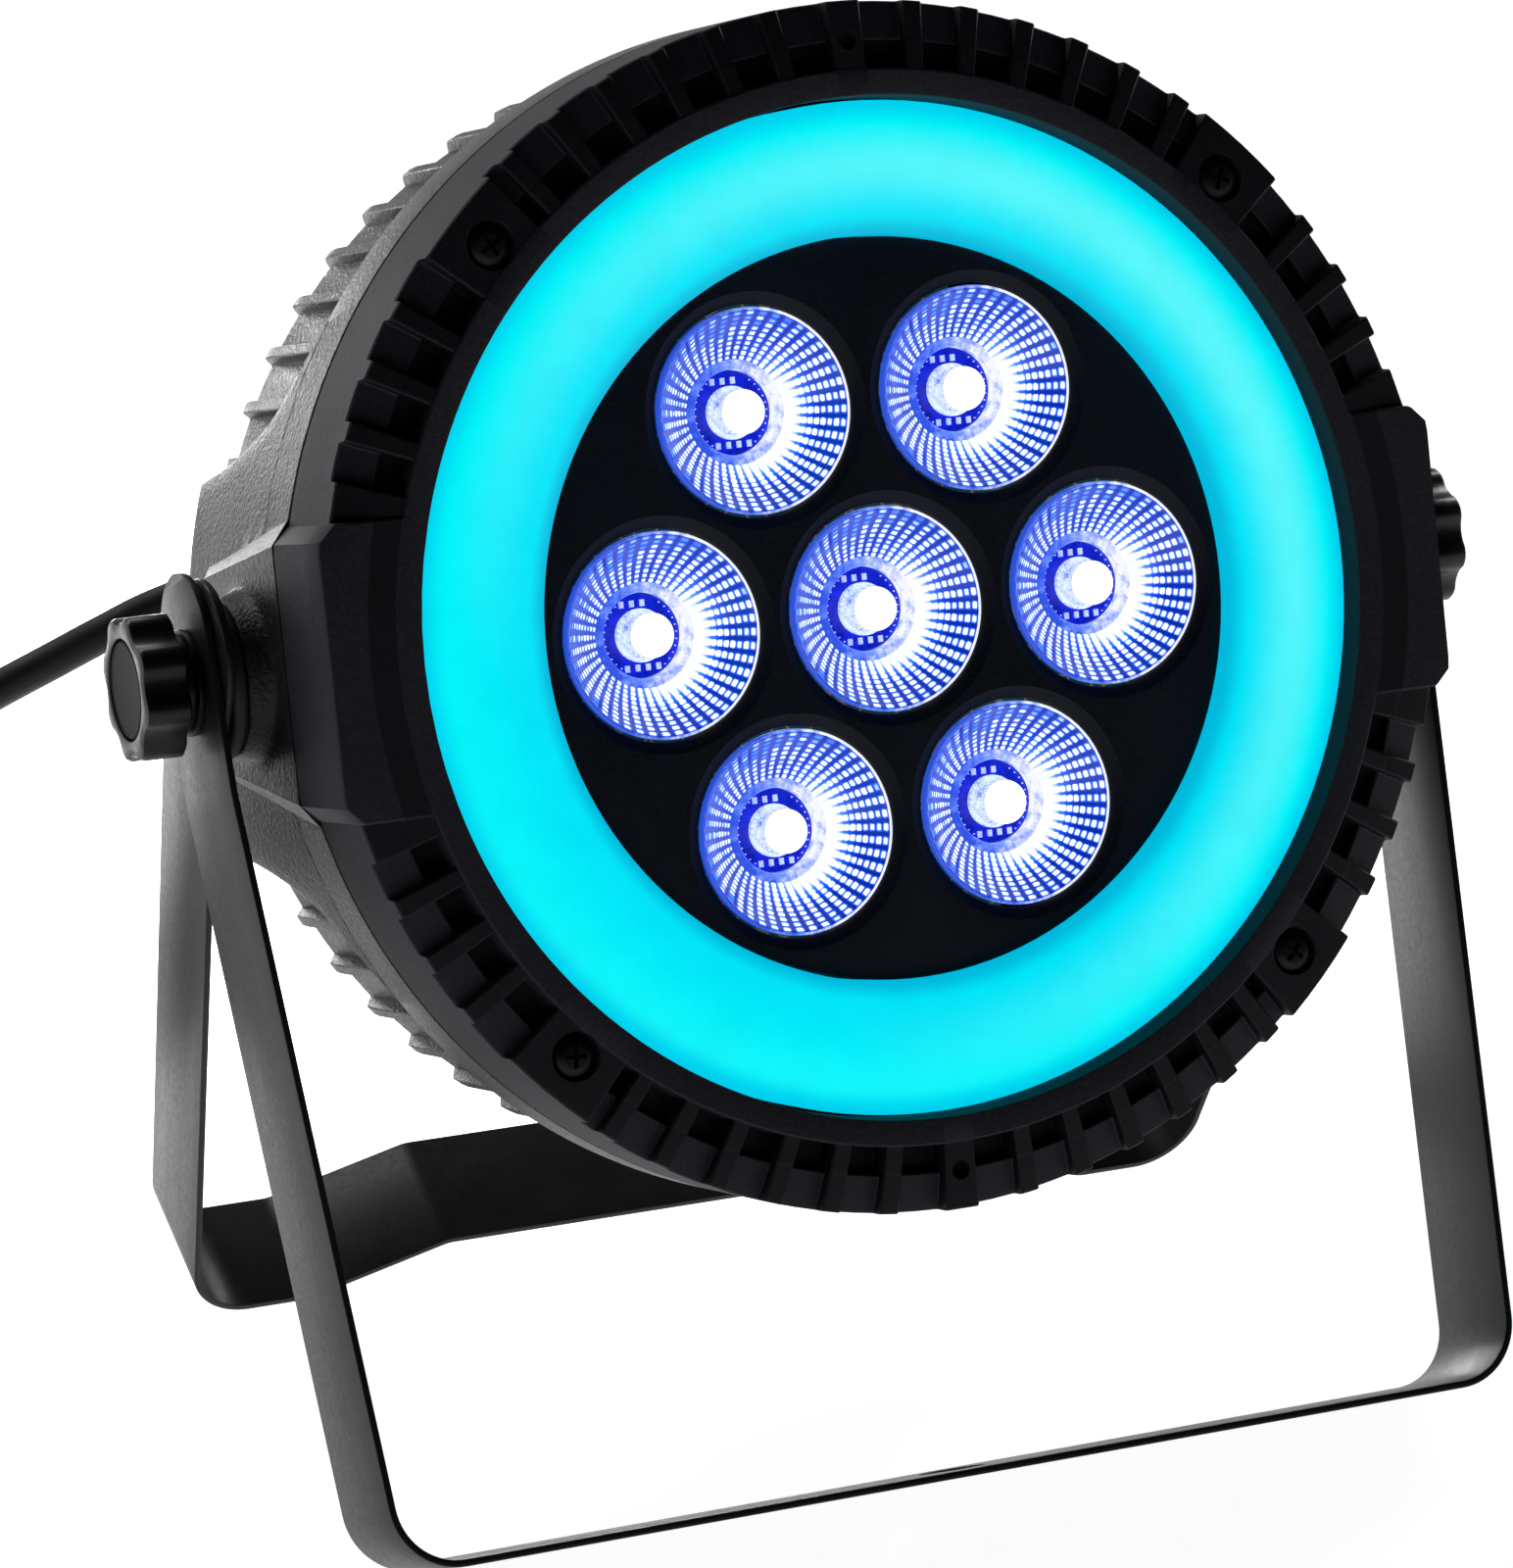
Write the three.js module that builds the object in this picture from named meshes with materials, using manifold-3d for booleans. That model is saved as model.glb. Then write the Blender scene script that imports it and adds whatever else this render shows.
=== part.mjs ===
// Flat LED par can light on a double bracket.
// Millimetres, +Z up. The lamp faces -Y and stands on its two brackets on z = 0.
import * as THREE from 'three';
import { mergeVertices } from 'three/addons/utils/BufferGeometryUtils.js';
import Module from 'manifold-3d';

const wasm = await Module();
wasm.setup();

const { cos, sin, PI } = Math;
const rad = (degrees) => (degrees * PI) / 180;

// ---------------------------------------------------------------- driving dimensions

const GAP = 0.3; // clearance between touching pieces

// stance
const HEAD_TILT = 20.5; // degrees that the lamp looks up
const FRONT_SPLAY = 30; // degrees that the outer bracket leans forward
const REAR_SPLAY = 18.7; // degrees that the inner bracket leans back

// brackets, strip steel
const STRIP_WIDTH = 30;
const STRIP_THICKNESS = 1.5;
const STRIP_BEND = 13; // radius of the bottom corners, to the middle of the strip
const ARM_STRAIGHT = 24; // flat length of an arm below the pivot before it leans in
const ARM_OVERRUN = 6.5; // from the pivot to the centre of the rounded arm end
const FRONT_LEG = 177; // from the pivot to the underside of the bar
const FRONT_HALF_TOP = 131.4; // half the width across the arms at the pivot
const FRONT_HALF_BOTTOM = 122;
const REAR_HALF_TOP = 129.5;
const REAR_HALF_BOTTOM = 117;
const JOGGLE_HEIGHT = 10.6; // the inner bracket's bar is raised in the middle
const JOGGLE_OUTER = 91;
const JOGGLE_INNER = 61;
const STUD_HOLE = 4.6;
const CLAMP_HOLE = 7;

const HALF_STRIP = STRIP_WIDTH / 2;
const PIVOT_Z = FRONT_LEG * cos(rad(FRONT_SPLAY)) + HALF_STRIP * sin(rad(FRONT_SPLAY));
const REAR_LEG = (PIVOT_Z - HALF_STRIP * sin(rad(REAR_SPLAY))) / cos(rad(REAR_SPLAY));
const PIVOT_Y = 3.455; // puts the middle of the lamp over the origin

// head, measured from the pivot along the lamp's own axis, front is negative
const FRONT_Y = -49; // face of the bezel
const SEAM_Y = -21.5; // joint between bezel and rear housing
const FLANGE_BACK_Y = -7;
const BARREL_BACK_Y = 39;
const BACK_Y = 52;
const HEAD_RADIUS = 118.7;
const EAR_X = 118.9; // flat sides at the pivot
const EAR_HALF = 25;
const EAR_CHAMFER = 3.5;

// bezel
const BIG_BOSS_ANGLES = [45, 135, 225, 315];
const SMALL_BOSS_ANGLES = [90, 270];
const BIG_BOSS_HALF = 4.85; // half angle of the solid block round a big screw
const SMALL_BOSS_HALF = 1.7;
const RIM_SEGMENTS = 60; // facets round the big turned pieces
const LIP_RADIUS = 100;
const FACE_RADIUS = 105.3; // outer edge of the flat front face
const RIB_PITCH = 6;
const FIRST_RIB = 82.55; // degrees up from the pivot axis, then down by the pitch
const RIB_PLACES = [0, 1, 2, 3, 4, 5, 8, 9, 10]; // two places are taken by a screw's block
const RIB_WIDTH = 3.7;
const GRILLE_RIB_COUNT = 60;
const EAR_FILL_ANGLE = 17.8; // the rim is solid from the ear up to here
const RIB_OUTER_Y = -46;
const POCKET_INNER_Y = -43;
const POCKET_OUTER_Y = -44.6;
const BOSS_CIRCLE = 109.9; // radius of the circle of bezel screws
const BEZEL_WALL = 3;

// halo and optics
const HALO_INNER = 73.3;
const HALO_OUTER = 99.4;
const HALO_EDGE_Y = -43.2;
const HALO_CROWN_Y = -46.5;
const HALO_SKIRT_Y = -34;
const HALO_WALL = 2;
const PLATE_Y = -40.8;
const PLATE_THICKNESS = 3;
const OPTIC_CIRCLE = 47.7;
const OPTIC_RADIUS = 20;
const OPTIC_COUNT = 7;
const OPTIC_BACK_Y = -24.5;
const WELL_RADIUS = 7.6;
const EMITTER_RADIUS = 4.3;
const BOARD_Y = -22.4; // front face of the main board
const BOARD_THICKNESS = 1.6;
const SINK_Y = BOARD_Y + BOARD_THICKNESS + GAP;
const SUPPLY_Y = SINK_Y + 24;

// pivot stack, along X
const BOSS_FACE_X = 124.4;
const RUBBER_FACE_X = REAR_HALF_TOP - STRIP_THICKNESS - GAP;
const KNOB_WASHER_X = FRONT_HALF_TOP + GAP;
const KNOB_WASHER_THICKNESS = 1.2;
const KNOB_X = KNOB_WASHER_X + KNOB_WASHER_THICKNESS + GAP;
const KNOB_LENGTH = 11.5;
const KNOB_END_X = KNOB_X + KNOB_LENGTH;
const KNOB_NECK = 2.2;
const KNOB_RADIUS = 14.8;
const KNOB_LOBES = 8;
const CAP_RECESS = 9.6; // radius of the hollow in the knob's face
const CAP_DEPTH = 1.6;
const STUD_RADIUS = 4;
const STUD_INNER_X = 101;
const INSERT_RADIUS = 6.2;
const INSERT_FACE_X = 116;

// rear housing and back panel
const SHELL_WALL = 2.8;
const BARREL_RADIUS = 112.4;
const GRILLE_RIB_RADIUS = 115;
const GRILLE_RIB_WIDTH = 3;
const SHOULDER_ANGLE = 19.5; // half angle of the smooth block round each pivot
const CAP_RADIUS = 96;
const PANEL = { x: 38, zLow: 8, zHigh: 60 }; // control panel, on the back face
const CONNECTOR_Z = -36;
const DMX_X = [14, 46];
const DMX_RADIUS = 11.5;
const CONNECTOR_PLATE = { xLow: -3, xHigh: 63, zLow: -54, zHigh: -18 }; // carries the two sockets
const GLAND = { x: -62, z: 10, radius: 8, length: 24 };
const EYELET_Z = 80;
const BUTTON_X = [-27, -9, 9, 27];
const BUTTON_Z = 20;
const BUTTON_RADIUS = 4;

// cord
const CORD_RADIUS = 4;
const CORD_SIDES = 8; // facets round the cord
const COIL_MEAN = 46; // mean radius of the coil
const COIL_CENTRE = [-180, 192];
const COIL_WIDTH = 16; // two turns wide and two turns high
const PLUG_RADIUS = 17;
const PLUG_LENGTH = 31;
const PLUG_RELIEF = 24;
const PIN_LENGTH = 19;
const PIN_SPACING = 19;
const PLUG_END = [COIL_CENTRE[0] + 21, COIL_CENTRE[1] + 7.5]; // where the cord enters the plug

// From the gland, out to the left behind the arm, and down in a free curve to the floor.
const CORD_ROUTE = [
  [-62, 78.7, 143.3],
  [-62.5, 87, 140.4],
  [-65, 96, 138.4],
  [-71, 104, 137.4],
  [-79.5, 109.5, 136.9],
  [-90, 112, 135.8],
  [-102, 113, 132.6],
  [-114, 113, 127.8],
  [-125.5, 113, 122.8],
  [-137.5, 113, 117.6],
  [-150, 113.5, 111.3],
  [-163, 115, 102.3],
  [-175, 117, 90.3],
  [-186, 120, 76.3],
  [-196, 124, 60.8],
  [-205, 129, 45.3],
  [-213.5, 135.5, 30.8],
  [-221, 143.5, 18],
  [-226.5, 152, 8.6],
  [-229.5, 161, 4.3],
];

// From the top of the coil round into the plug, which lies on it.
const TAIL_ROUTE = [
  [-225, 170, 20.4],
  [-225, 184, 21.4],
  [-223, 198, 24],
  [-216, 211, 27.8],
  [-204.5, 220, 31],
  [-191, 223.5, 32.7],
  [-177, 221.5, 33.3],
  [-166.5, 214.5, 33.3],
  [-160.6, 207.5, 33.3],
  [-159, 200.4, 33.3],
];

// ---------------------------------------------------------------- materials

const finish = (color, roughness, metalness, extra = {}) =>
  new THREE.MeshStandardMaterial({ color, roughness, metalness, ...extra });

const housingPlastic = () => finish(0x17181a, 0.62, 0);
const bracketPaint = () => finish(0x1d1f22, 0.5, 0.2);
const knobPlastic = () => finish(0x141518, 0.42, 0);
const rubber = () => finish(0x101010, 0.85, 0);
const zincSteel = () => finish(0xb9bcc0, 0.32, 1);
const brass = () => finish(0xb08d45, 0.35, 1);
const aluminium = () => finish(0xa9acb0, 0.4, 1);
const boardGreen = () => finish(0x14532f, 0.55, 0);
const clearOptic = () => finish(0x1a2cff, 0.08, 0, { transparent: true, opacity: 0.7 });
const haloPlastic = () => finish(0x00e6ff, 0.45, 0, { emissive: new THREE.Color(0x00b8e0) });

// ---------------------------------------------------------------- shape helpers

// A closed triangle mesh with shared vertices becomes a solid for cutting and joining.
function toSolid(geometry) {
  const bare = geometry.clone();
  bare.deleteAttribute('normal');
  bare.deleteAttribute('uv');
  const merged = mergeVertices(bare, 1e-4);
  const vertProperties = new Float32Array(merged.attributes.position.array);
  const triVerts = new Uint32Array(merged.index.array);
  return new wasm.Manifold(new wasm.Mesh({ numProp: 3, vertProperties, triVerts }));
}

function toGeometry(solid) {
  const mesh = solid.getMesh();
  const geometry = new THREE.BufferGeometry();
  geometry.setAttribute('position', new THREE.BufferAttribute(mesh.vertProperties, 3));
  geometry.setIndex(new THREE.BufferAttribute(mesh.triVerts, 1));
  geometry.computeVertexNormals();
  return geometry;
}

const join = (solids) => solids.reduce((sum, solid) => sum.add(solid));
const cut = (solid, cutters) => cutters.reduce((rest, cutter) => rest.subtract(cutter), solid);

// Turns a closed outline of [radius, y] points around the lamp's Y axis.
function turned(outline, segments) {
  let area = 0;
  outline.forEach(([r, y], i) => {
    const [nextR, nextY] = outline[(i + 1) % outline.length];
    area += r * nextY - nextR * y;
  });
  const ordered = area > 0 ? outline : [...outline].reverse();
  const points = ordered.map(([r, y]) => new THREE.Vector2(r, y));
  const touchesAxis = ordered.some(([r]) => r === 0);
  if (touchesAxis) {
    while (points[0].x !== 0 || points[points.length - 1].x !== 0) points.push(points.shift());
  } else {
    points.push(points[0].clone());
  }
  return new THREE.LatheGeometry(points, segments);
}

// A disc or ring whose axis is the lamp's Y axis.
function ring(inner, outer, yA, yB, segments) {
  return turned([[inner, yA], [outer, yA], [outer, yB], [inner, yB]], segments);
}

// The same ring laid along X instead, from xA to xB.
function ringX(inner, outer, xA, xB, segments) {
  return ring(inner, outer, xA, xB, segments).rotateZ(-PI / 2);
}

const polygon = (points) => new THREE.Shape(points.map(([a, b]) => new THREE.Vector2(a, b)));

function circle(radius, segments, centreA = 0, centreB = 0) {
  const points = [];
  for (let i = 0; i < segments; i += 1) {
    const angle = (2 * PI * i) / segments;
    points.push([centreA + radius * cos(angle), centreB + radius * sin(angle)]);
  }
  return polygon(points);
}

const extrude = (shape, depth) =>
  new THREE.ExtrudeGeometry(shape, { depth, bevelEnabled: false, curveSegments: 12 });

// A shape drawn on (x, z), as seen from the front, reaching from yFront back to yBack.
const frontSlab = (shape, yFront, yBack) =>
  extrude(shape, yBack - yFront).rotateX(PI / 2).translate(0, yBack, 0);

// A shape drawn on (y, z), as seen from the side, reaching from xA to xB.
function sideSlab(shape, xA, xB) {
  const turn = new THREE.Matrix4().makeBasis(
    new THREE.Vector3(0, 1, 0),
    new THREE.Vector3(0, 0, 1),
    new THREE.Vector3(1, 0, 0),
  );
  return extrude(shape, xB - xA).applyMatrix4(turn).translate(xA, 0, 0);
}

const box = (x0, x1, y0, y1, z0, z1) =>
  new THREE.BoxGeometry(x1 - x0, y1 - y0, z1 - z0)
    .translate((x0 + x1) / 2, (y0 + y1) / 2, (z0 + z1) / 2);

// Copies of a geometry turned about the lamp's axis to the given angles in degrees.
const around = (geometry, angles) => angles.map((angle) => geometry.clone().rotateY(-rad(angle)));

function part(parent, name, geometry, material) {
  const mesh = new THREE.Mesh(geometry, material);
  mesh.name = name;
  parent.add(mesh);
  return mesh;
}

// ---------------------------------------------------------------- scene tree

const lamp = new THREE.Group();
lamp.position.set(0, PIVOT_Y, PIVOT_Z);
const head = new THREE.Group();
head.rotation.x = -rad(HEAD_TILT);
lamp.add(head);

// ---------------------------------------------------------------- bezel

// Flat side at the pivot with 45 degree ends, drawn from the front.
function earShape(innerX) {
  const tip = EAR_HALF + EAR_CHAMFER;
  return polygon([
    [innerX, -tip],
    [EAR_X - EAR_CHAMFER, -tip],
    [EAR_X, -EAR_HALF],
    [EAR_X, EAR_HALF],
    [EAR_X - EAR_CHAMFER, tip],
    [innerX, tip],
  ]);
}

// A sector of the rim with the ribs' section, from -half to +half degrees.
function rimBlock(section, half) {
  const steps = Math.max(2, Math.round(half / 3));
  const points = [...section, section[0]].map(([r, y]) => new THREE.Vector2(r, y));
  const sector = new THREE.LatheGeometry(points, steps, PI / 2 - rad(half), 2 * rad(half));
  const vertices = sector.attributes.position;
  const positions = Array.from(vertices.array);
  const index = Array.from(sector.index.array);
  const corners = section.length;
  const rings = corners + 1;
  for (let k = 1; k < corners - 1; k += 1) {
    index.push(0, k, k + 1);
    index.push(steps * rings, steps * rings + k + 1, steps * rings + k);
  }
  const closed = new THREE.BufferGeometry();
  closed.setAttribute('position', new THREE.Float32BufferAttribute(positions, 3));
  closed.setIndex(index);
  return closed;
}

function frontBezel() {
  const insideRadius = HEAD_RADIUS - BEZEL_WALL;
  const body = toSolid(turned([
    [LIP_RADIUS, FRONT_Y],
    [FACE_RADIUS, FRONT_Y],
    [FACE_RADIUS, POCKET_INNER_Y],
    [HEAD_RADIUS - 0.8, POCKET_OUTER_Y],
    [HEAD_RADIUS, POCKET_OUTER_Y + 1],
    [HEAD_RADIUS, SEAM_Y - GAP],
    [insideRadius, SEAM_Y - GAP],
    [insideRadius, -39],
    [LIP_RADIUS, -39],
  ], RIM_SEGMENTS));
  const ribSide = [
    [FACE_RADIUS - 1, FRONT_Y],
    [HEAD_RADIUS, RIB_OUTER_Y],
    [HEAD_RADIUS, POCKET_OUTER_Y + 2],
    [FACE_RADIUS - 1, POCKET_INNER_Y + 2],
  ];
  const radialRib = extrude(polygon(ribSide), RIB_WIDTH).translate(0, 0, -RIB_WIDTH / 2);
  const ribAngles = RIB_PLACES.flatMap((place) => {
    const angle = FIRST_RIB - RIB_PITCH * place;
    return [angle, 180 - angle, 180 + angle, 360 - angle];
  });
  const ribs = around(radialRib, ribAngles).map(toSolid);
  const solidBlocks = [
    ...around(rimBlock(ribSide, BIG_BOSS_HALF), BIG_BOSS_ANGLES),
    ...around(rimBlock(ribSide, SMALL_BOSS_HALF), SMALL_BOSS_ANGLES),
    ...around(rimBlock(ribSide, EAR_FILL_ANGLE), [0, 180]),
  ].map(toSolid);
  const ear = frontSlab(earShape(FACE_RADIUS - 1), FRONT_Y, SEAM_Y - GAP);
  const ears = around(ear, [0, 180]).map(toSolid);
  const shell = join([body, ...ribs, ...solidBlocks, ...ears]);
  const screwHoles = [
    ...around(ring(0, 4.9, FRONT_Y - 1, FRONT_Y + 3.2, 20).translate(BOSS_CIRCLE, 0, 0), BIG_BOSS_ANGLES),
    ...around(ring(0, 2.3, FRONT_Y - 1, SEAM_Y, 12).translate(BOSS_CIRCLE, 0, 0), BIG_BOSS_ANGLES),
    ...around(
      ring(0, 1.7, FRONT_Y - 1, FRONT_Y + 4, 10).translate(BOSS_CIRCLE + 1, 0, 0),
      SMALL_BOSS_ANGLES,
    ),
    ring(0, insideRadius - 2, -38.9, SEAM_Y + 1, RIM_SEGMENTS),
  ].map(toSolid);
  return toGeometry(cut(shell, screwHoles));
}

// ---------------------------------------------------------------- halo, plate and optics

// Translucent ring with a crowned face and two skirts, open at the back.
function haloDiffuser() {
  const middle = (HALO_INNER + HALO_OUTER) / 2;
  const half = (HALO_OUTER - HALO_INNER) / 2;
  const crown = HALO_EDGE_Y - HALO_CROWN_Y;
  const steps = 4;
  const outline = [];
  for (let i = 0; i <= steps; i += 1) {
    const across = (2 * i) / steps - 1;
    outline.push([middle + half * across, HALO_EDGE_Y - crown * (1 - across * across)]);
  }
  outline.push([HALO_OUTER, HALO_SKIRT_Y], [HALO_OUTER - HALO_WALL, HALO_SKIRT_Y]);
  for (let i = steps; i >= 0; i -= 1) {
    const across = (2 * i) / steps - 1;
    const inset = half - HALO_WALL;
    const y = HALO_EDGE_Y + HALO_WALL - crown * (1 - across * across);
    outline.push([middle + inset * across, y]);
  }
  outline.push([HALO_INNER + HALO_WALL, HALO_SKIRT_Y], [HALO_INNER, HALO_SKIRT_Y]);
  return turned(outline, 40);
}

// Places of the optics: one in the middle and six around it, the first at 3 o'clock.
const opticPlaces = [[0, 0]];
for (let i = 0; i < OPTIC_COUNT - 1; i += 1) {
  const angle = rad(i * 60);
  opticPlaces.push([OPTIC_CIRCLE * cos(angle), OPTIC_CIRCLE * sin(angle)]);
}

function frontPlate() {
  const outer = HALO_INNER - GAP;
  const disc = toSolid(ring(0, outer, PLATE_Y, PLATE_Y + PLATE_THICKNESS, 48));
  const funnel = turned([
    [0, PLATE_Y - 1],
    [OPTIC_RADIUS + 3, PLATE_Y - 1],
    [OPTIC_RADIUS + 3, PLATE_Y],
    [OPTIC_RADIUS + 0.8, PLATE_Y + 1.2],
    [OPTIC_RADIUS + 0.8, PLATE_Y + PLATE_THICKNESS + 1],
    [0, PLATE_Y + PLATE_THICKNESS + 1],
  ], 16);
  return toGeometry(cut(disc, opticPlaces.map(([x, z]) => toSolid(funnel.clone().translate(x, 0, z)))));
}

// Solid collimating lens: flat face, cone behind it, and a well for the light source.
function opticLens() {
  return turned([
    [0, PLATE_Y + 0.8],
    [OPTIC_RADIUS, PLATE_Y + 0.8],
    [OPTIC_RADIUS, PLATE_Y + 3],
    [WELL_RADIUS + 2, OPTIC_BACK_Y],
    [WELL_RADIUS - 1.4, OPTIC_BACK_Y],
    [WELL_RADIUS - 1.4, OPTIC_BACK_Y - 9],
    [0, OPTIC_BACK_Y - 9],
  ], 20);
}

// Light source: square package under a clear dome.
function emitter() {
  const base = toSolid(box(-4.6, 4.6, BOARD_Y - GAP - 1.4, BOARD_Y - GAP, -4.6, 4.6));
  const lens = toSolid(turned([
    [0, BOARD_Y - GAP - 0.7],
    [EMITTER_RADIUS, BOARD_Y - GAP - 0.7],
    [EMITTER_RADIUS, BOARD_Y - 5],
    [EMITTER_RADIUS - 1.6, BOARD_Y - 7.4],
    [0, BOARD_Y - 8.2],
  ], 12));
  return toGeometry(base.add(lens));
}

// ---------------------------------------------------------------- boards, heat sink, supply

function heatSink() {
  const base = toSolid(ring(0, 66, SINK_Y, SINK_Y + 4, 40));
  const fins = [];
  for (let x = -45; x <= 45; x += 15) {
    const reach = Math.sqrt(62 * 62 - x * x);
    fins.push(toSolid(box(x - 1, x + 1, SINK_Y + 3, SINK_Y + 22, -reach, reach)));
  }
  return toGeometry(join([base, ...fins]));
}

function powerSupply() {
  const board = toSolid(box(-52, 52, SUPPLY_Y + 16, SUPPLY_Y + 17.6, -62, -4));
  const transformer = toSolid(box(-14, 10, SUPPLY_Y, SUPPLY_Y + 16.5, -50, -26));
  const capacitor = toSolid(ring(0, 8, SUPPLY_Y + 1, SUPPLY_Y + 16.5, 16).translate(-36, 0, -32));
  const choke = toSolid(ring(0, 7, SUPPLY_Y + 6, SUPPLY_Y + 16.5, 12).translate(34, 0, -42));
  return toGeometry(join([board, transformer, capacitor, choke]));
}

// ---------------------------------------------------------------- rear housing

// Smooth block round one pivot, drawn from the side and wrapped on the barrel.
function shoulderBlock() {
  const wide = HEAD_RADIUS * sin(rad(SHOULDER_ANGLE));
  const wedge = polygon([
    [FLANGE_BACK_Y - 2, -wide - 34],
    [FLANGE_BACK_Y + 3, -wide - 20],
    [FLANGE_BACK_Y + 15, -wide - 6],
    [BARREL_BACK_Y, -wide],
    [BARREL_BACK_Y, wide],
    [FLANGE_BACK_Y + 15, wide + 6],
    [FLANGE_BACK_Y + 3, wide + 20],
    [FLANGE_BACK_Y - 2, wide + 34],
  ]);
  const prism = toSolid(sideSlab(wedge, 70, 130));
  const skinInner = BARREL_RADIUS - SHELL_WALL + 0.5;
  const skin = toSolid(ring(skinInner, HEAD_RADIUS, FLANGE_BACK_Y - 2, BARREL_BACK_Y, RIM_SEGMENTS));
  return prism.intersect(skin);
}

// Raised flat pad that narrows towards the back and carries the round pivot boss.
function pivotPad() {
  const padShape = polygon([
    [SEAM_Y, -EAR_HALF],
    [23, -19.2],
    [23, 19.2],
    [SEAM_Y, EAR_HALF],
  ]);
  const skirtShape = polygon([
    [SEAM_Y, -EAR_HALF - EAR_CHAMFER],
    [27, -19.2 - EAR_CHAMFER],
    [27, 19.2 + EAR_CHAMFER],
    [SEAM_Y, EAR_HALF + EAR_CHAMFER],
  ]);
  const pad = toSolid(sideSlab(padShape, 108, EAR_X));
  const skirt = toSolid(sideSlab(skirtShape, 108, EAR_X - 2.2));
  const boss = toSolid(turned([
    [0, 99],
    [10, 99],
    [10, 110],
    [16.6, 118],
    [16.6, EAR_X + 0.4],
    [15.2, BOSS_FACE_X],
    [0, BOSS_FACE_X],
  ], 32).rotateZ(-PI / 2));
  return join([pad, skirt, boss]);
}

function rearHousing() {
  const flangeInner = HEAD_RADIUS - BEZEL_WALL;
  const shell = toSolid(turned([
    [HEAD_RADIUS, SEAM_Y],
    [HEAD_RADIUS, FLANGE_BACK_Y],
    [BARREL_RADIUS, FLANGE_BACK_Y + 1.5],
    [BARREL_RADIUS, BARREL_BACK_Y],
    [CAP_RADIUS, BACK_Y],
    [0, BACK_Y],
    [0, BACK_Y - SHELL_WALL],
    [CAP_RADIUS - 2, BACK_Y - SHELL_WALL],
    [BARREL_RADIUS - SHELL_WALL, BARREL_BACK_Y - 1],
    [BARREL_RADIUS - SHELL_WALL, FLANGE_BACK_Y],
    [flangeInner, SEAM_Y + 6],
    [flangeInner, SEAM_Y],
  ], RIM_SEGMENTS));
  const grilleRib = box(
    BARREL_RADIUS - 1, GRILLE_RIB_RADIUS,
    FLANGE_BACK_Y, BARREL_BACK_Y,
    -GRILLE_RIB_WIDTH / 2, GRILLE_RIB_WIDTH / 2,
  );
  const ribAngles = [];
  for (let i = 0; i < GRILLE_RIB_COUNT; i += 1) {
    const angle = (i + 0.5) * (360 / GRILLE_RIB_COUNT);
    const fromPivot = Math.abs(((angle + 90) % 180) - 90);
    if (fromPivot > SHOULDER_ANGLE) ribAngles.push(angle);
  }
  const ribs = around(grilleRib, ribAngles).map(toSolid);
  const sides = [shoulderBlock(), pivotPad()];
  const bothSides = [...sides, ...sides.map((solid) => solid.rotate([0, 180, 0]))];
  const outer = join([shell, ...ribs, ...bothSides]);
  const openings = [
    ringX(0, INSERT_RADIUS + 0.2, 90, INSERT_FACE_X + 0.2, 24),
    ringX(0, STUD_RADIUS + 0.6, 90, 130, 24),
    box(-PANEL.x, PANEL.x, BACK_Y - 4, BACK_Y + 2, PANEL.zLow, PANEL.zHigh),
    ring(0, GLAND.radius, BACK_Y - 4, BACK_Y + 2, 24).translate(GLAND.x, 0, GLAND.z),
    box(
      CONNECTOR_PLATE.xLow, CONNECTOR_PLATE.xHigh,
      BACK_Y - 4, BACK_Y + 2,
      CONNECTOR_PLATE.zLow, CONNECTOR_PLATE.zHigh,
    ),
    ring(0, 3.2, BACK_Y - 4, BACK_Y + 2, 16).translate(0, 0, EYELET_Z),
  ].map(toSolid);
  const mirrored = openings.slice(0, 2).map((solid) => solid.rotate([0, 180, 0]));
  return toGeometry(cut(outer, [...openings, ...mirrored]));
}

// ---------------------------------------------------------------- back panel

function controlPanel() {
  const plate = toSolid(box(
    -PANEL.x + GAP, PANEL.x - GAP, BACK_Y - SHELL_WALL, BACK_Y + 0.4,
    PANEL.zLow + GAP, PANEL.zHigh - GAP,
  ));
  const window = box(-22, 22, BACK_Y - 6, BACK_Y + 4, 36, 53);
  const buttonHole = ring(0, BUTTON_RADIUS + GAP, BACK_Y - 6, BACK_Y + 4, 16);
  const buttonHoles = BUTTON_X.map((x) => buttonHole.clone().translate(x, 0, BUTTON_Z));
  return toGeometry(cut(plate, [window, ...buttonHoles].map(toSolid)));
}

function menuButton() {
  return turned([
    [0, BACK_Y - SHELL_WALL - 2],
    [BUTTON_RADIUS + 1.5, BACK_Y - SHELL_WALL - 2],
    [BUTTON_RADIUS + 1.5, BACK_Y - SHELL_WALL - GAP],
    [BUTTON_RADIUS, BACK_Y - SHELL_WALL - GAP],
    [BUTTON_RADIUS, BACK_Y + 2],
    [BUTTON_RADIUS - 0.7, BACK_Y + 2.8],
    [0, BACK_Y + 2.8],
  ], 12);
}

function connectorPlate() {
  const plate = toSolid(box(
    CONNECTOR_PLATE.xLow + GAP, CONNECTOR_PLATE.xHigh - GAP,
    BACK_Y - SHELL_WALL, BACK_Y,
    CONNECTOR_PLATE.zLow + GAP, CONNECTOR_PLATE.zHigh - GAP,
  ));
  const holes = DMX_X.map((x) =>
    ring(0, DMX_RADIUS + GAP, BACK_Y - 4, BACK_Y + 2, 20).translate(x, 0, CONNECTOR_Z));
  return toGeometry(cut(plate, holes.map(toSolid)));
}

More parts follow.
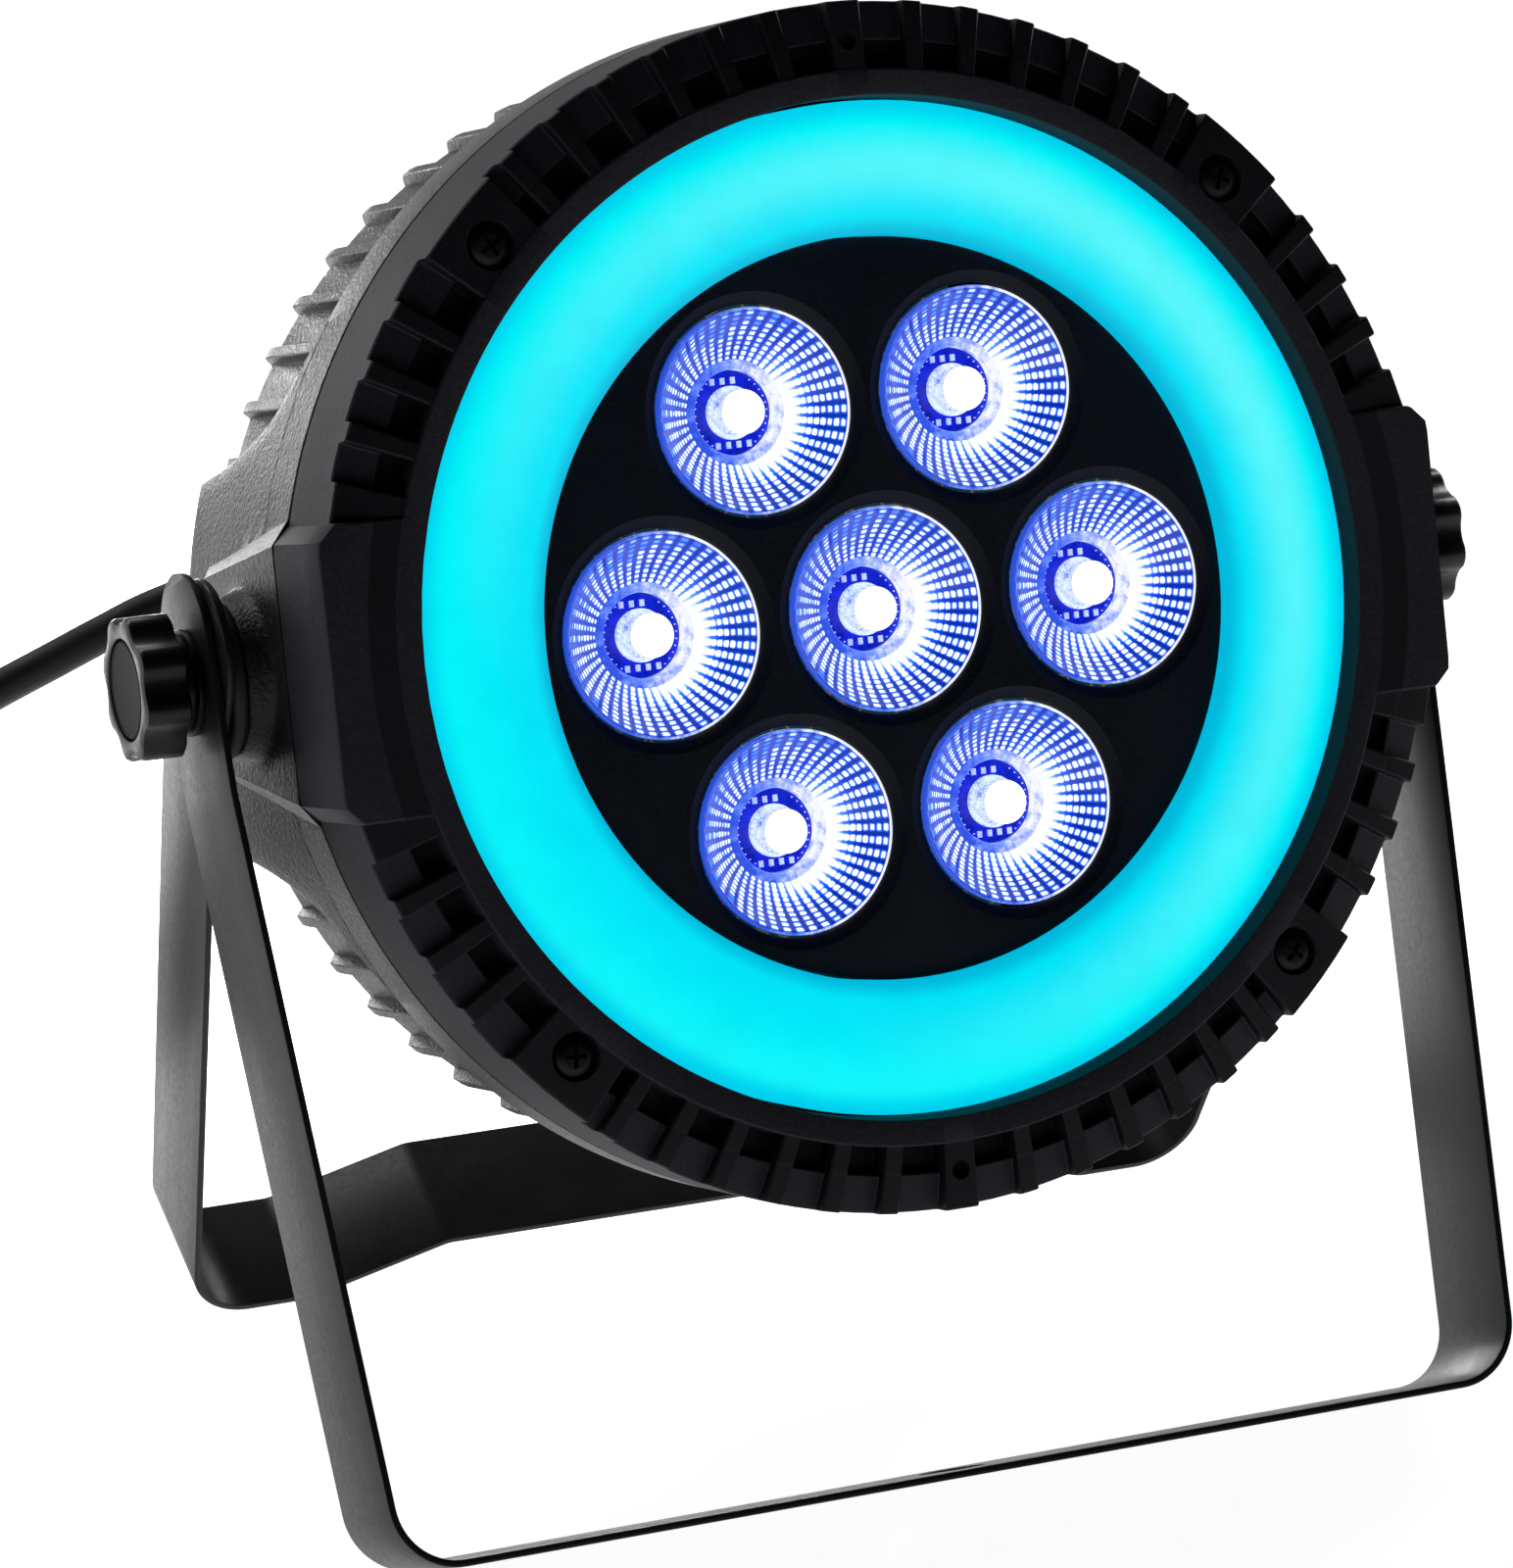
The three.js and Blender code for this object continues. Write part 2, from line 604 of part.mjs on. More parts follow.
// Three-pole round connector in a square flange; the socket is a shallow recess with pins.
function dmxSocket() {
  const flange = toSolid(box(-13, 13, BACK_Y + GAP, BACK_Y + 2.2, -15.5, 15.5));
  const barrel = toSolid(ring(0, DMX_RADIUS, BACK_Y - 16, BACK_Y + 1, 20));
  const recess = toSolid(ring(0, 8.6, BACK_Y - 11, BACK_Y + 4, 20));
  const pins = [];
  for (const angle of [-50, 90, 230]) {
    pins.push(toSolid(ring(0, 1.25, BACK_Y - 12, BACK_Y - 6, 8)
      .translate(3.8 * cos(rad(angle)), 0, 3.8 * sin(rad(angle)))));
  }
  return toGeometry(join([flange.add(barrel).subtract(recess), ...pins]));
}

function displayWindow() {
  return box(-21.7, 21.7, BACK_Y - 2, BACK_Y + 0.8, 36.3, 52.7);
}

function controlBoard() {
  return box(-36, 36, BACK_Y - SHELL_WALL - 6, BACK_Y - SHELL_WALL - 4.4, PANEL.zLow, PANEL.zHigh);
}

function cableGland() {
  const body = toSolid(turned([
    [0, BACK_Y - SHELL_WALL - 5],
    [GLAND.radius - GAP, BACK_Y - SHELL_WALL - 5],
    [GLAND.radius - GAP, BACK_Y + GAP],
    [GLAND.radius + 3.4, BACK_Y + GAP],
    [GLAND.radius + 3.4, BACK_Y + 4],
    [GLAND.radius + 1, BACK_Y + 6],
    [GLAND.radius + 1, BACK_Y + 9],
    [CORD_RADIUS + 1.6, BACK_Y + GLAND.length],
    [0, BACK_Y + GLAND.length],
  ], 18));
  return toGeometry(body);
}

function safetyEyelet() {
  const loop = new THREE.TorusGeometry(7, 2, 6, 14).rotateY(PI / 2).translate(0, BACK_Y + 9.5, EYELET_Z);
  const stem = ring(0, 2.8, BACK_Y - 6, BACK_Y + 2.6, 16).translate(0, 0, EYELET_Z);
  const collar = ring(0, 5, BACK_Y + GAP, BACK_Y + 2, 20).translate(0, 0, EYELET_Z);
  return toGeometry(join([loop, stem, collar].map(toSolid)));
}

// ---------------------------------------------------------------- fasteners and pivot stack

function bezelScrew() {
  const shank = toSolid(ring(0, 2, FRONT_Y + 1.4, SEAM_Y + 4, 10));
  const cap = toSolid(ring(0, 4.4, FRONT_Y + 0.8, FRONT_Y + 2.9, 20));
  const blades = [0, 90].map((angle) => toSolid(
    box(-0.5, 0.5, FRONT_Y, FRONT_Y + 2.2, -2.4, 2.4).rotateY(rad(angle)),
  ));
  return toGeometry(cut(cap.add(shank), blades));
}

const threadedInsert = () => ringX(STUD_RADIUS + 0.3, INSERT_RADIUS, STUD_INNER_X, INSERT_FACE_X, 16);
const rubberWasher = () => ringX(STUD_HOLE, 16, BOSS_FACE_X + GAP, RUBBER_FACE_X, 20);
const knobWasher = () => ringX(STUD_HOLE, 10.5, KNOB_WASHER_X, KNOB_WASHER_X + KNOB_WASHER_THICKNESS, 20);

// Star outline: round lobes with hollows between them.
function starShape() {
  const points = [];
  const steps = KNOB_LOBES * 4;
  for (let i = 0; i < steps; i += 1) {
    const angle = (2 * PI * i) / steps;
    const wave = cos(KNOB_LOBES * angle);
    const radius = KNOB_RADIUS - 0.85 + 0.85 * Math.sign(wave) * Math.abs(wave) ** 0.7;
    points.push([radius * cos(angle), radius * sin(angle)]);
  }
  return polygon(points);
}

function starKnob() {
  const neck = toSolid(ringX(0, 10, KNOB_X, KNOB_X + KNOB_NECK + 1, 28));
  const star = toSolid(sideSlab(starShape(), KNOB_X + KNOB_NECK, KNOB_END_X));
  const recess = toSolid(ringX(0, CAP_RECESS + GAP, KNOB_END_X - CAP_DEPTH, KNOB_END_X + 1, 32));
  const bore = toSolid(ringX(0, STUD_RADIUS + GAP, KNOB_X - 1, KNOB_END_X - 3, 20));
  return toGeometry(cut(neck.add(star), [recess, bore]));
}

const knobCap = () => ringX(0, CAP_RECESS, KNOB_END_X - CAP_DEPTH + GAP, KNOB_END_X - 0.3, 24);
const pivotStud = () => ringX(0, STUD_RADIUS, STUD_INNER_X + 2, KNOB_END_X - 3.4, 16);

// ---------------------------------------------------------------- brackets

// Rounds the corners of a bent-strip path and returns the outline of the strip around it.
function stripOutline(path, thickness) {
  const line = [];
  path.forEach(({ at, bend }, i) => {
    const here = new THREE.Vector2(...at);
    if (!bend) {
      line.push(here);
      return;
    }
    const into = here.clone().sub(new THREE.Vector2(...path[i - 1].at)).normalize();
    const out = new THREE.Vector2(...path[i + 1].at).sub(here).normalize();
    const turn = Math.acos(into.dot(out));
    const reach = bend * Math.tan(turn / 2);
    const start = here.clone().addScaledVector(into, -reach);
    const side = Math.sign(into.cross(out));
    const centre = start.clone().add(new THREE.Vector2(-into.y, into.x).multiplyScalar(bend * side));
    const steps = Math.max(2, Math.round(turn / rad(11)));
    for (let k = 0; k <= steps; k += 1) {
      line.push(start.clone().rotateAround(centre, (side * turn * k) / steps));
    }
  });
  const offset = (distance) => line.map((point, i) => {
    const before = line[Math.max(i - 1, 0)];
    const after = line[Math.min(i + 1, line.length - 1)];
    const along = after.clone().sub(before).normalize();
    return [point.x - along.y * distance, point.y + along.x * distance];
  });
  return polygon([...offset(thickness / 2), ...offset(-thickness / 2).reverse()]);
}

// A U bracket in its own frame: pivot at the origin, arms hanging straight down.
function bracket(halfTop, halfBottom, leg, joggle) {
  const inset = STRIP_THICKNESS / 2;
  const top = halfTop - inset;
  const foot = halfBottom - inset;
  const floor = -leg + inset;
  const half = [
    { at: [-top, ARM_OVERRUN + HALF_STRIP + 2] },
    { at: [-top, -ARM_STRAIGHT], bend: 60 },
    { at: [-foot, floor], bend: STRIP_BEND },
  ];
  if (joggle) {
    half.push(
      { at: [-JOGGLE_OUTER, floor], bend: 8 },
      { at: [-JOGGLE_INNER, floor + JOGGLE_HEIGHT], bend: 8 },
    );
  }
  const mirrored = [...half].reverse().map(({ at, bend }) => ({ at: [-at[0], at[1]], bend }));
  const strip = toSolid(frontSlab(
    stripOutline([...half, ...mirrored], STRIP_THICKNESS), -HALF_STRIP, HALF_STRIP,
  ));
  const roundEnd = toSolid(sideSlab(circle(HALF_STRIP, 36, 0, ARM_OVERRUN), -200, 200));
  const below = toSolid(box(-200, 200, -HALF_STRIP - 1, HALF_STRIP + 1, -leg - 5, ARM_OVERRUN));
  const holes = [
    ringX(0, STUD_HOLE, -200, 200, 24),
    ring(0, CLAMP_HOLE, -leg - 5, -leg + 20, 24).rotateX(PI / 2),
  ].map(toSolid);
  return toGeometry(cut(strip.intersect(roundEnd.add(below)), holes));
}

// ---------------------------------------------------------------- cord

function cordTube(route) {
  const curve = new THREE.CatmullRomCurve3(route.map((point) => new THREE.Vector3(...point)));
  const section = circle(CORD_RADIUS, CORD_SIDES);
  const steps = Math.round(curve.getLength() / (5 * CORD_RADIUS / 2));
  return new THREE.ExtrudeGeometry(section, { steps, extrudePath: curve, bevelEnabled: false });
}

function cordCoil() {
  const half = COIL_WIDTH / 2;
  return ring(COIL_MEAN - half, COIL_MEAN + half, 0, COIL_WIDTH, 36)
    .rotateX(PI / 2)
    .translate(COIL_CENTRE[0], COIL_CENTRE[1], 0);
}

// Round moulded plug lying along -Y with two pins.
function powerPlug() {
  const relief = CORD_RADIUS + 1.5;
  const body = toSolid(turned([
    [0, 0],
    [relief, 0],
    [relief + 1.5, -PLUG_RELIEF],
    [PLUG_RADIUS - 3, -PLUG_RELIEF - 3],
    [PLUG_RADIUS, -PLUG_RELIEF - 10],
    [PLUG_RADIUS, -PLUG_RELIEF - PLUG_LENGTH],
    [0, -PLUG_RELIEF - PLUG_LENGTH],
  ], 20));
  const pins = [-1, 1].map((side) => toSolid(
    ring(0, 2.4, -PLUG_RELIEF - PLUG_LENGTH - PIN_LENGTH, -PLUG_RELIEF - PLUG_LENGTH + 1, 12)
      .translate((side * PIN_SPACING) / 2, 0, 0),
  ));
  return toGeometry(join([body, ...pins]))
    .translate(PLUG_END[0], PLUG_END[1], COIL_WIDTH + GAP + PLUG_RADIUS);
}

// ---------------------------------------------------------------- assembly

part(head, 'front_bezel', frontBezel(), housingPlastic());
part(head, 'rear_housing', rearHousing(), housingPlastic());
part(head, 'halo_diffuser', haloDiffuser(), haloPlastic());
part(head, 'optic_plate', frontPlate(), housingPlastic());
opticPlaces.forEach(([x, z], i) => {
  part(head, `led_optic_${i + 1}`, opticLens(), clearOptic()).position.set(x, 0, z);
  part(head, `led_emitter_${i + 1}`, emitter(), clearOptic()).position.set(x, 0, z);
});
part(head, 'main_led_board', ring(0, 68, BOARD_Y, BOARD_Y + BOARD_THICKNESS, 32), boardGreen());
part(head, 'halo_led_board', ring(76, 97, HALO_SKIRT_Y + GAP, HALO_SKIRT_Y + 1.9, 32), boardGreen());
part(head, 'heat_sink', heatSink(), aluminium());
part(head, 'power_supply', powerSupply(), boardGreen());
part(head, 'control_board', controlBoard(), boardGreen());
part(head, 'control_panel', controlPanel(), housingPlastic());
part(head, 'connector_plate', connectorPlate(), housingPlastic());
part(head, 'display_window', displayWindow(), finish(0x2a0b0b, 0.15, 0));
BUTTON_X.forEach((x, i) => {
  part(head, `menu_button_${i + 1}`, menuButton(), rubber()).position.set(x, 0, BUTTON_Z);
});
DMX_X.forEach((x, i) => {
  part(head, `dmx_socket_${i + 1}`, dmxSocket(), zincSteel()).position.set(x, 0, CONNECTOR_Z);
});
part(head, 'cable_gland', cableGland(), rubber()).position.set(GLAND.x, 0, GLAND.z);
part(head, 'safety_eyelet', safetyEyelet(), zincSteel());
BIG_BOSS_ANGLES.forEach((angle, i) => {
  const place = new THREE.Vector2(BOSS_CIRCLE, 0).rotateAround(new THREE.Vector2(), rad(angle));
  part(head, `bezel_screw_${i + 1}`, bezelScrew(), zincSteel()).position.set(place.x, 0, place.y);
});

for (const [side, turnY] of [['right', 0], ['left', PI]]) {
  const stack = new THREE.Group();
  stack.rotation.y = turnY;
  lamp.add(stack);
  part(stack, `threaded_insert_${side}`, threadedInsert(), brass());
  part(stack, `rubber_washer_${side}`, rubberWasher(), rubber());
  part(stack, `knob_washer_${side}`, knobWasher(), zincSteel());
  part(stack, `knob_stud_${side}`, pivotStud(), zincSteel());
  part(stack, `star_knob_${side}`, starKnob(), knobPlastic());
  part(stack, `knob_cap_${side}`, knobCap(), knobPlastic());
}

const frontBracket = part(
  lamp, 'front_bracket', bracket(FRONT_HALF_TOP, FRONT_HALF_BOTTOM, FRONT_LEG, false), bracketPaint(),
);
frontBracket.rotation.x = -rad(FRONT_SPLAY);
const rearBracket = part(
  lamp, 'rear_bracket', bracket(REAR_HALF_TOP, REAR_HALF_BOTTOM, REAR_LEG, true), bracketPaint(),
);
rearBracket.rotation.x = rad(REAR_SPLAY);

const model = new THREE.Group();
model.add(lamp);
part(model, 'power_cable', cordTube(CORD_ROUTE), rubber());
part(model, 'cable_coil', cordCoil(), rubber());
part(model, 'cable_tail', cordTube(TAIL_ROUTE), rubber());
part(model, 'power_plug', powerPlug(), rubber());

export default model;
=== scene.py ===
# Flat LED par light on a double bracket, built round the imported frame. Metres, +Z up.
from math import acos, asin, cos, pi, radians, sin, tan

import bmesh
import bpy
from mathutils import Matrix, Vector


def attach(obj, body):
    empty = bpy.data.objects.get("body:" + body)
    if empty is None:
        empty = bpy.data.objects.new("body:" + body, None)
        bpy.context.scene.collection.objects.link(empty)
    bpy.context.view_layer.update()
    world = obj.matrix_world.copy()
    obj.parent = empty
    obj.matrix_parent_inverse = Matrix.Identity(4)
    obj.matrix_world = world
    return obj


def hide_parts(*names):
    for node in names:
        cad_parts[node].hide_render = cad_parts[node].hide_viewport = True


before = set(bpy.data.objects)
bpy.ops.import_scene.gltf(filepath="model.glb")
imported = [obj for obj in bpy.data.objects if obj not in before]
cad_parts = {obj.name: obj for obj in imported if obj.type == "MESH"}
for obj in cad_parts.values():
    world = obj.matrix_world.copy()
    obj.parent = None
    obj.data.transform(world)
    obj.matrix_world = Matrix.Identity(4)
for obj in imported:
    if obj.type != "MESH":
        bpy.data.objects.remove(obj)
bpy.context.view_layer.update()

MM = 0.001

# ---- dimensions, in millimetres

HEAD_TILT = radians(20.5)
FRONT_SPLAY = radians(30)
REAR_SPLAY = radians(18.7)
PIVOT = Vector((0, 3.455, 160.7865))

BACK_Y = 52.0
HEAD_RADIUS = 118.7
BARREL_RADIUS = 112.4
RIB_TOP_RADIUS = 115.0
SCREW_CIRCLE = 109.9
MARK_CIRCLE = 110.9
EAR_X = 118.9
EAR_HALF = 25.0
EAR_CHAMFER = 3.5

HALO_RADIUS, HALO_HALF = 86.35, 13.05
OPTIC_CIRCLE = 47.7
OPTIC_RADIUS = 20.3
PLATE_Y = -40.8
PLATE_RADIUS = 73.0

GLAND = (-62.0, 52.0, 10.0)
BUTTON_X = (-27.0, -9.0, 9.0, 27.0)
BUTTON_Z = 20.0
DMX_X = (14.0, 46.0)
CONNECTOR_Z = -36.0
EYELET_Z, EYELET_WIRE = 80.0, 1.98
PANEL_X, PANEL_LOW, PANEL_HIGH = 38.0, 8.0, 60.0

STRIP_WIDTH = 30.0
STRIP_THICKNESS = 1.5

HEAD = Matrix.Translation(PIVOT * MM) @ Matrix.Rotation(-HEAD_TILT, 4, "X")
STACK_RIGHT = Matrix.Translation(PIVOT * MM)
STACK_LEFT = Matrix.Translation(PIVOT * MM) @ Matrix.Rotation(pi, 4, "Z")
FRONT_FRAME = Matrix.Translation(PIVOT * MM) @ Matrix.Rotation(-FRONT_SPLAY, 4, "X")
REAR_FRAME = Matrix.Translation(PIVOT * MM) @ Matrix.Rotation(REAR_SPLAY, 4, "X")
WORLD = Matrix.Identity(4)

SMOOTH_ANGLE = 32
WELD = 2e-6
FLOOR_LEVEL, FLOOR_REACH = -0.0004, 60.0


# ---- camera

def make_camera():
    """The view solved from the photograph: lens, distance and angles about the pivot."""
    azimuth, elevation, roll = radians(-24.333), radians(22.728), radians(2.471)
    distance, shift_right, shift_up = 1254.858, -10.351, -35.395
    back = Vector((sin(azimuth) * cos(elevation), -cos(azimuth) * cos(elevation), sin(elevation)))
    level = Vector((cos(azimuth), sin(azimuth), 0))
    rise = back.cross(level)
    right = level * cos(roll) + rise * sin(roll)
    up = rise * cos(roll) - level * sin(roll)
    data = bpy.data.cameras.new("camera")
    data.sensor_width = 36
    data.lens = 142.357
    data.clip_end = 30
    place = (PIVOT + back * distance + right * shift_right + up * shift_up) * MM
    turned = Matrix((right, up, back)).transposed().to_4x4()
    bpy.context.scene.camera = add_object("camera", data, Matrix.Translation(place) @ turned)


# ---- material nodes

class Nodes:
    """Short calls for making and linking the nodes of one tree."""

    def __init__(self, tree, coords):
        self.tree = tree
        self.coords = tree.nodes.new("ShaderNodeTexCoord").outputs[coords]

    def node(self, kind, **inputs):
        made = self.tree.nodes.new(kind)
        for key, value in inputs.items():
            self.feed(made.inputs[key.replace("_", " ")], value)
        return made

    def feed(self, socket, value):
        if isinstance(value, bpy.types.NodeSocket):
            self.tree.links.new(value, socket)
        else:
            socket.default_value = value

    def math(self, operation, *values):
        made = self.tree.nodes.new("ShaderNodeMath")
        made.operation = operation
        for socket, value in zip(made.inputs, values):
            self.feed(socket, value)
        return made.outputs[0]

    def plus(self, a, b):
        return self.math("ADD", a, b)

    def minus(self, a, b):
        return self.math("SUBTRACT", a, b)

    def times(self, a, b):
        return self.math("MULTIPLY", a, b)

    def over(self, a, b):
        return self.math("DIVIDE", a, b)

    def length(self, a, b):
        return self.math("SQRT", self.plus(self.times(a, a), self.times(b, b)), 0.0)

    def axes(self, coords=None):
        return self.node("ShaderNodeSeparateXYZ", Vector=coords or self.coords).outputs

    def ramp(self, factor, stops, smooth=False):
        """Colour ramp through (position, colour or grey value) stops."""
        made = self.tree.nodes.new("ShaderNodeValToRGB")
        if smooth:
            made.color_ramp.interpolation = "EASE"
        elements = made.color_ramp.elements
        while len(elements) < len(stops):
            elements.new(0.5)
        for element, (position, colour) in zip(elements, stops):
            element.position = position
            element.color = (*colour, 1) if hasattr(colour, "__len__") else (colour, colour, colour, 1)
        self.tree.links.new(factor, made.inputs[0])
        return made.outputs["Color"]


class Shader(Nodes):
    """A material with one Principled shader."""

    def __init__(self, name, **constants):
        self.material = bpy.data.materials.new(name)
        self.material.use_nodes = True
        super().__init__(self.material.node_tree, "Object")
        self.bsdf = self.tree.nodes["Principled BSDF"]
        for socket, value in constants.items():
            self.bsdf.inputs[socket.replace("_", " ")].default_value = value

    def noise(self, scale, detail=3.0, roughness=0.55, distortion=0.0, coords=None):
        made = self.node("ShaderNodeTexNoise", Scale=scale, Detail=detail, Roughness=roughness)
        made.inputs["Distortion"].default_value = distortion
        self.feed(made.inputs["Vector"], coords or self.coords)
        return made.outputs["Fac"]

    def cells(self, scale, feature="F1", coords=None, output="Distance"):
        made = self.node("ShaderNodeTexVoronoi", Scale=scale)
        made.feature = feature
        self.feed(made.inputs["Vector"], coords or self.coords)
        return made.outputs[output]

    def stretched(self, x, y, z):
        made = self.node("ShaderNodeMapping", Scale=(x, y, z))
        self.tree.links.new(self.coords, made.inputs["Vector"])
        return made.outputs["Vector"]

    def mix(self, factor, a, b, blend="MIX"):
        made = self.tree.nodes.new("ShaderNodeMix")
        made.data_type = "RGBA"
        made.blend_type = blend
        self.feed(made.inputs[0], factor)
        for socket, value in ((made.inputs[6], a), (made.inputs[7], b)):
            if isinstance(value, (tuple, list)):
                value = (*value, 1) if len(value) == 3 else value
            self.feed(socket, value)
        return made.outputs[2]

    def bump(self, *layers):
        """Each layer is (height, strength, distance in metres)."""
        normal = None
        for height, strength, distance in layers:
            made = self.node("ShaderNodeBump", Strength=strength, Distance=distance)
            self.tree.links.new(height, made.inputs["Height"])
            if normal is not None:
                self.tree.links.new(normal, made.inputs["Normal"])
            normal = made.outputs["Normal"]
        self.tree.links.new(normal, self.bsdf.inputs["Normal"])

    def colour(self, value):
        self.feed(self.bsdf.inputs["Base Color"], value)

    def rough(self, factor, low, high, start=0.3, end=0.7):
        self.feed(self.bsdf.inputs["Roughness"], self.ramp(factor, [(start, low), (end, high)]))

    def glow(self, colour, strength):
        self.feed(self.bsdf.inputs["Emission Color"], colour)
        self.feed(self.bsdf.inputs["Emission Strength"], strength)


# ---- materials

def grained_plastic(name, dark, light, rough_low, rough_high, grain=1500, depth=0.5, specular=0.5):
    """Black plastic moulded in a spark-eroded tool: sparkling grain, soft blotches, a little dust."""
    s = Shader(name, Specular_IOR_Level=specular)
    fine = s.noise(grain, 2, 0.6)
    pits = s.cells(grain * 0.55)
    blotch = s.noise(28, 4, 0.6)
    dust = s.ramp(s.noise(2600, 1, 0.5), [(0.70, 0.0), (0.78, 1.0)])
    base = s.ramp(blotch, [(0.35, dark), (0.68, light)])
    base = s.mix(s.ramp(fine, [(0.42, 0.0), (0.66, 0.5)]), base, [c * 1.9 for c in light])
    s.colour(s.mix(s.times(dust, 0.35), base, [c * 3.4 for c in light]))
    s.rough(s.plus(s.times(fine, 0.6), s.times(blotch, 0.4)), rough_low, rough_high)
    s.bump((pits, depth * 0.5, 0.00012), (fine, depth, 0.00018), (s.noise(9, 2), 0.05, 0.002))
    return s.material


def satin_paint(name, dark, light, rough_low, rough_high, metallic=0.0):
    """Fine powder coat: orange peel, faint streaks along the strip and tiny nibs."""
    s = Shader(name, Metallic=metallic, Specular_IOR_Level=0.22)
    peel = s.noise(900, 3, 0.5)
    blotch = s.noise(16, 5, 0.62)
    rubbed = s.noise(60, 6, 0.7, 0.4, s.stretched(1, 1, 0.12))
    nibs = s.ramp(s.cells(420), [(0.03, 1.0), (0.07, 0.0)])
    base = s.ramp(blotch, [(0.32, dark), (0.7, light)])
    s.colour(s.mix(s.ramp(rubbed, [(0.58, 0.0), (0.75, 0.4)]), base, [c * 1.8 for c in light]))
    s.rough(s.plus(s.times(rubbed, 0.5), s.times(peel, 0.5)), rough_low, rough_high, 0.35, 0.65)
    s.bump((nibs, 0.12, 0.00006), (peel, 0.16, 0.00012), (blotch, 0.06, 0.001))
    return s.material


def soft_rubber(name, dark, light, rough_low=0.55, rough_high=0.78):
    s = Shader(name, Specular_IOR_Level=0.4)
    bloom = s.noise(45, 5, 0.65)
    fine = s.noise(1400, 3, 0.6)
    s.colour(s.ramp(bloom, [(0.34, dark), (0.7, light)]))
    s.rough(bloom, rough_low, rough_high)
    s.bump((fine, 0.25, 0.0001), (s.noise(260, 2), 0.12, 0.0002))
    return s.material


def plated_steel(name, tint, rough_low, rough_high, along=(1, 1, 40)):
    """Plated metal with fine brushing and dull stains."""
    s = Shader(name, Metallic=1.0)
    brush = s.noise(220, 4, 0.6, 0.0, s.stretched(*along))
    stain = s.noise(90, 4, 0.6)
    s.colour(s.mix(s.ramp(stain, [(0.4, 0.0), (0.75, 0.6)]), tint, [c * 0.62 for c in tint]))
    s.rough(brush, rough_low, rough_high)
    s.bump((brush, 0.12, 0.00008), (s.noise(1200, 2), 0.08, 0.00005))
    return s.material


def halo_light():
    """Opal ring lit from behind: cyan, paler over the row of LEDs, deeper at both edges."""
    s = Shader("halo_light", Roughness=0.35, Specular_IOR_Level=0.08)
    x, y, z = s.axes()
    radius = s.length(x, z)
    across = s.over(s.minus(radius, (HALO_RADIUS - HALO_HALF) * MM), 2 * HALO_HALF * MM)
    side = s.plus(s.times(x, 3.6), s.times(z, 3.0))
    pale = s.times(s.ramp(across, [(0.12, 0.0), (0.5, 1.0), (0.86, 0.0)], True),
                  s.ramp(s.plus(side, 0.5), [(0.18, 0.0), (0.88, 1.0)]))
    milk = s.noise(140, 3, 0.6)
    body = s.ramp(across, [(0.0, (0.0, 0.50, 0.74)), (0.16, (0.0, 0.80, 0.97)),
                           (0.8, (0.0, 0.92, 0.98)), (1.0, (0.0, 0.64, 0.88))], True)
    body = s.mix(s.times(pale, 0.8), body, (0.13, 0.98, 1.0))
    shade = s.ramp(milk, [(0.3, 0.95), (0.7, 1.0)])
    s.colour((0.002, 0.05, 0.06, 1))
    s.rough(milk, 0.32, 0.42)
    s.glow(s.mix(1.0, body, shade, "MULTIPLY"), 0.98)
    s.bump((s.noise(900, 2), 0.06, 0.0001))
    return s.material


def facet_light():
    """Faceted collimator wall: columns of bright beads on deep blue, whitest near the source; the glow is
    painted light, brighter towards one side.
    """
    s = Shader("facet_light", Roughness=0.12, Specular_IOR_Level=0.6)
    grid = s.node("ShaderNodeUVMap")
    grid.uv_map = "facets"
    u, v, _ = s.axes(grid.outputs["UV"])
    in_u = s.math("PINGPONG", u, 0.5)
    in_v = s.math("PINGPONG", v, 0.5)
    wander = s.noise(2.3, 3, 0.7, 0.0, grid.outputs["UV"])
    column = s.ramp(s.plus(in_u, s.times(s.minus(wander, 0.5), 0.22)),
                    [(0.10, 0.0), (0.36, 1.0)], True)
    bead = s.ramp(in_v, [(0.05, 0.25), (0.34, 1.0)], True)
    x, y, z = s.axes()
    out = s.over(s.length(x, z), OPTIC_RADIUS * MM)
    inward = s.ramp(out, [(0.5, 1.0), (0.66, 0.92), (0.86, 0.72), (1.0, 0.40)])
    # Painted light: the glow grows brighter towards +x and -z.
    painted_side_light = s.ramp(s.plus(s.times(s.minus(x, z), 18), 0.5),
                  [(0.0, 0.6), (0.5, 1.0), (1.0, 1.5)])
    random_cell = s.node("ShaderNodeTexWhiteNoise")
    random_cell.noise_dimensions = "2D"
    snapped = s.node("ShaderNodeVectorMath")
    snapped.operation = "FLOOR"
    s.tree.links.new(grid.outputs["UV"], snapped.inputs[0])
    s.tree.links.new(snapped.outputs[0], random_cell.inputs["Vector"])
    chance = s.ramp(random_cell.outputs["Value"], [(0.0, 0.45), (1.0, 1.0)])
    light = s.times(s.times(column, bead), s.times(s.times(inward, painted_side_light), chance))
    # Painted light: an extra glow near the middle that grows towards +x.
    right = s.plus(s.times(s.minus(x, s.times(z, 0.5)), 26), 0.5)
    painted_centre_flood = s.times(s.ramp(out, [(0.5, 1.0), (0.80, 0.0)], True),
                    s.ramp(right, [(0.35, 0.0), (0.85, 0.5)], True))
    light = s.plus(light, painted_centre_flood)
    s.colour((0.01, 0.02, 0.25, 1))
    s.glow(s.ramp(light, [(0.0, (0.0, 0.018, 0.26)), (0.14, (0.004, 0.075, 0.82)),
                          (0.28, (0.06, 0.27, 1.0)), (0.38, (0.80, 0.90, 1.0)), (0.6, (1.0, 1.0, 1.0))]), 1.1)
    s.rough(wander, 0.1, 0.22)
    s.bump((s.times(column, bead), 0.5, 0.0003))
    return s.material


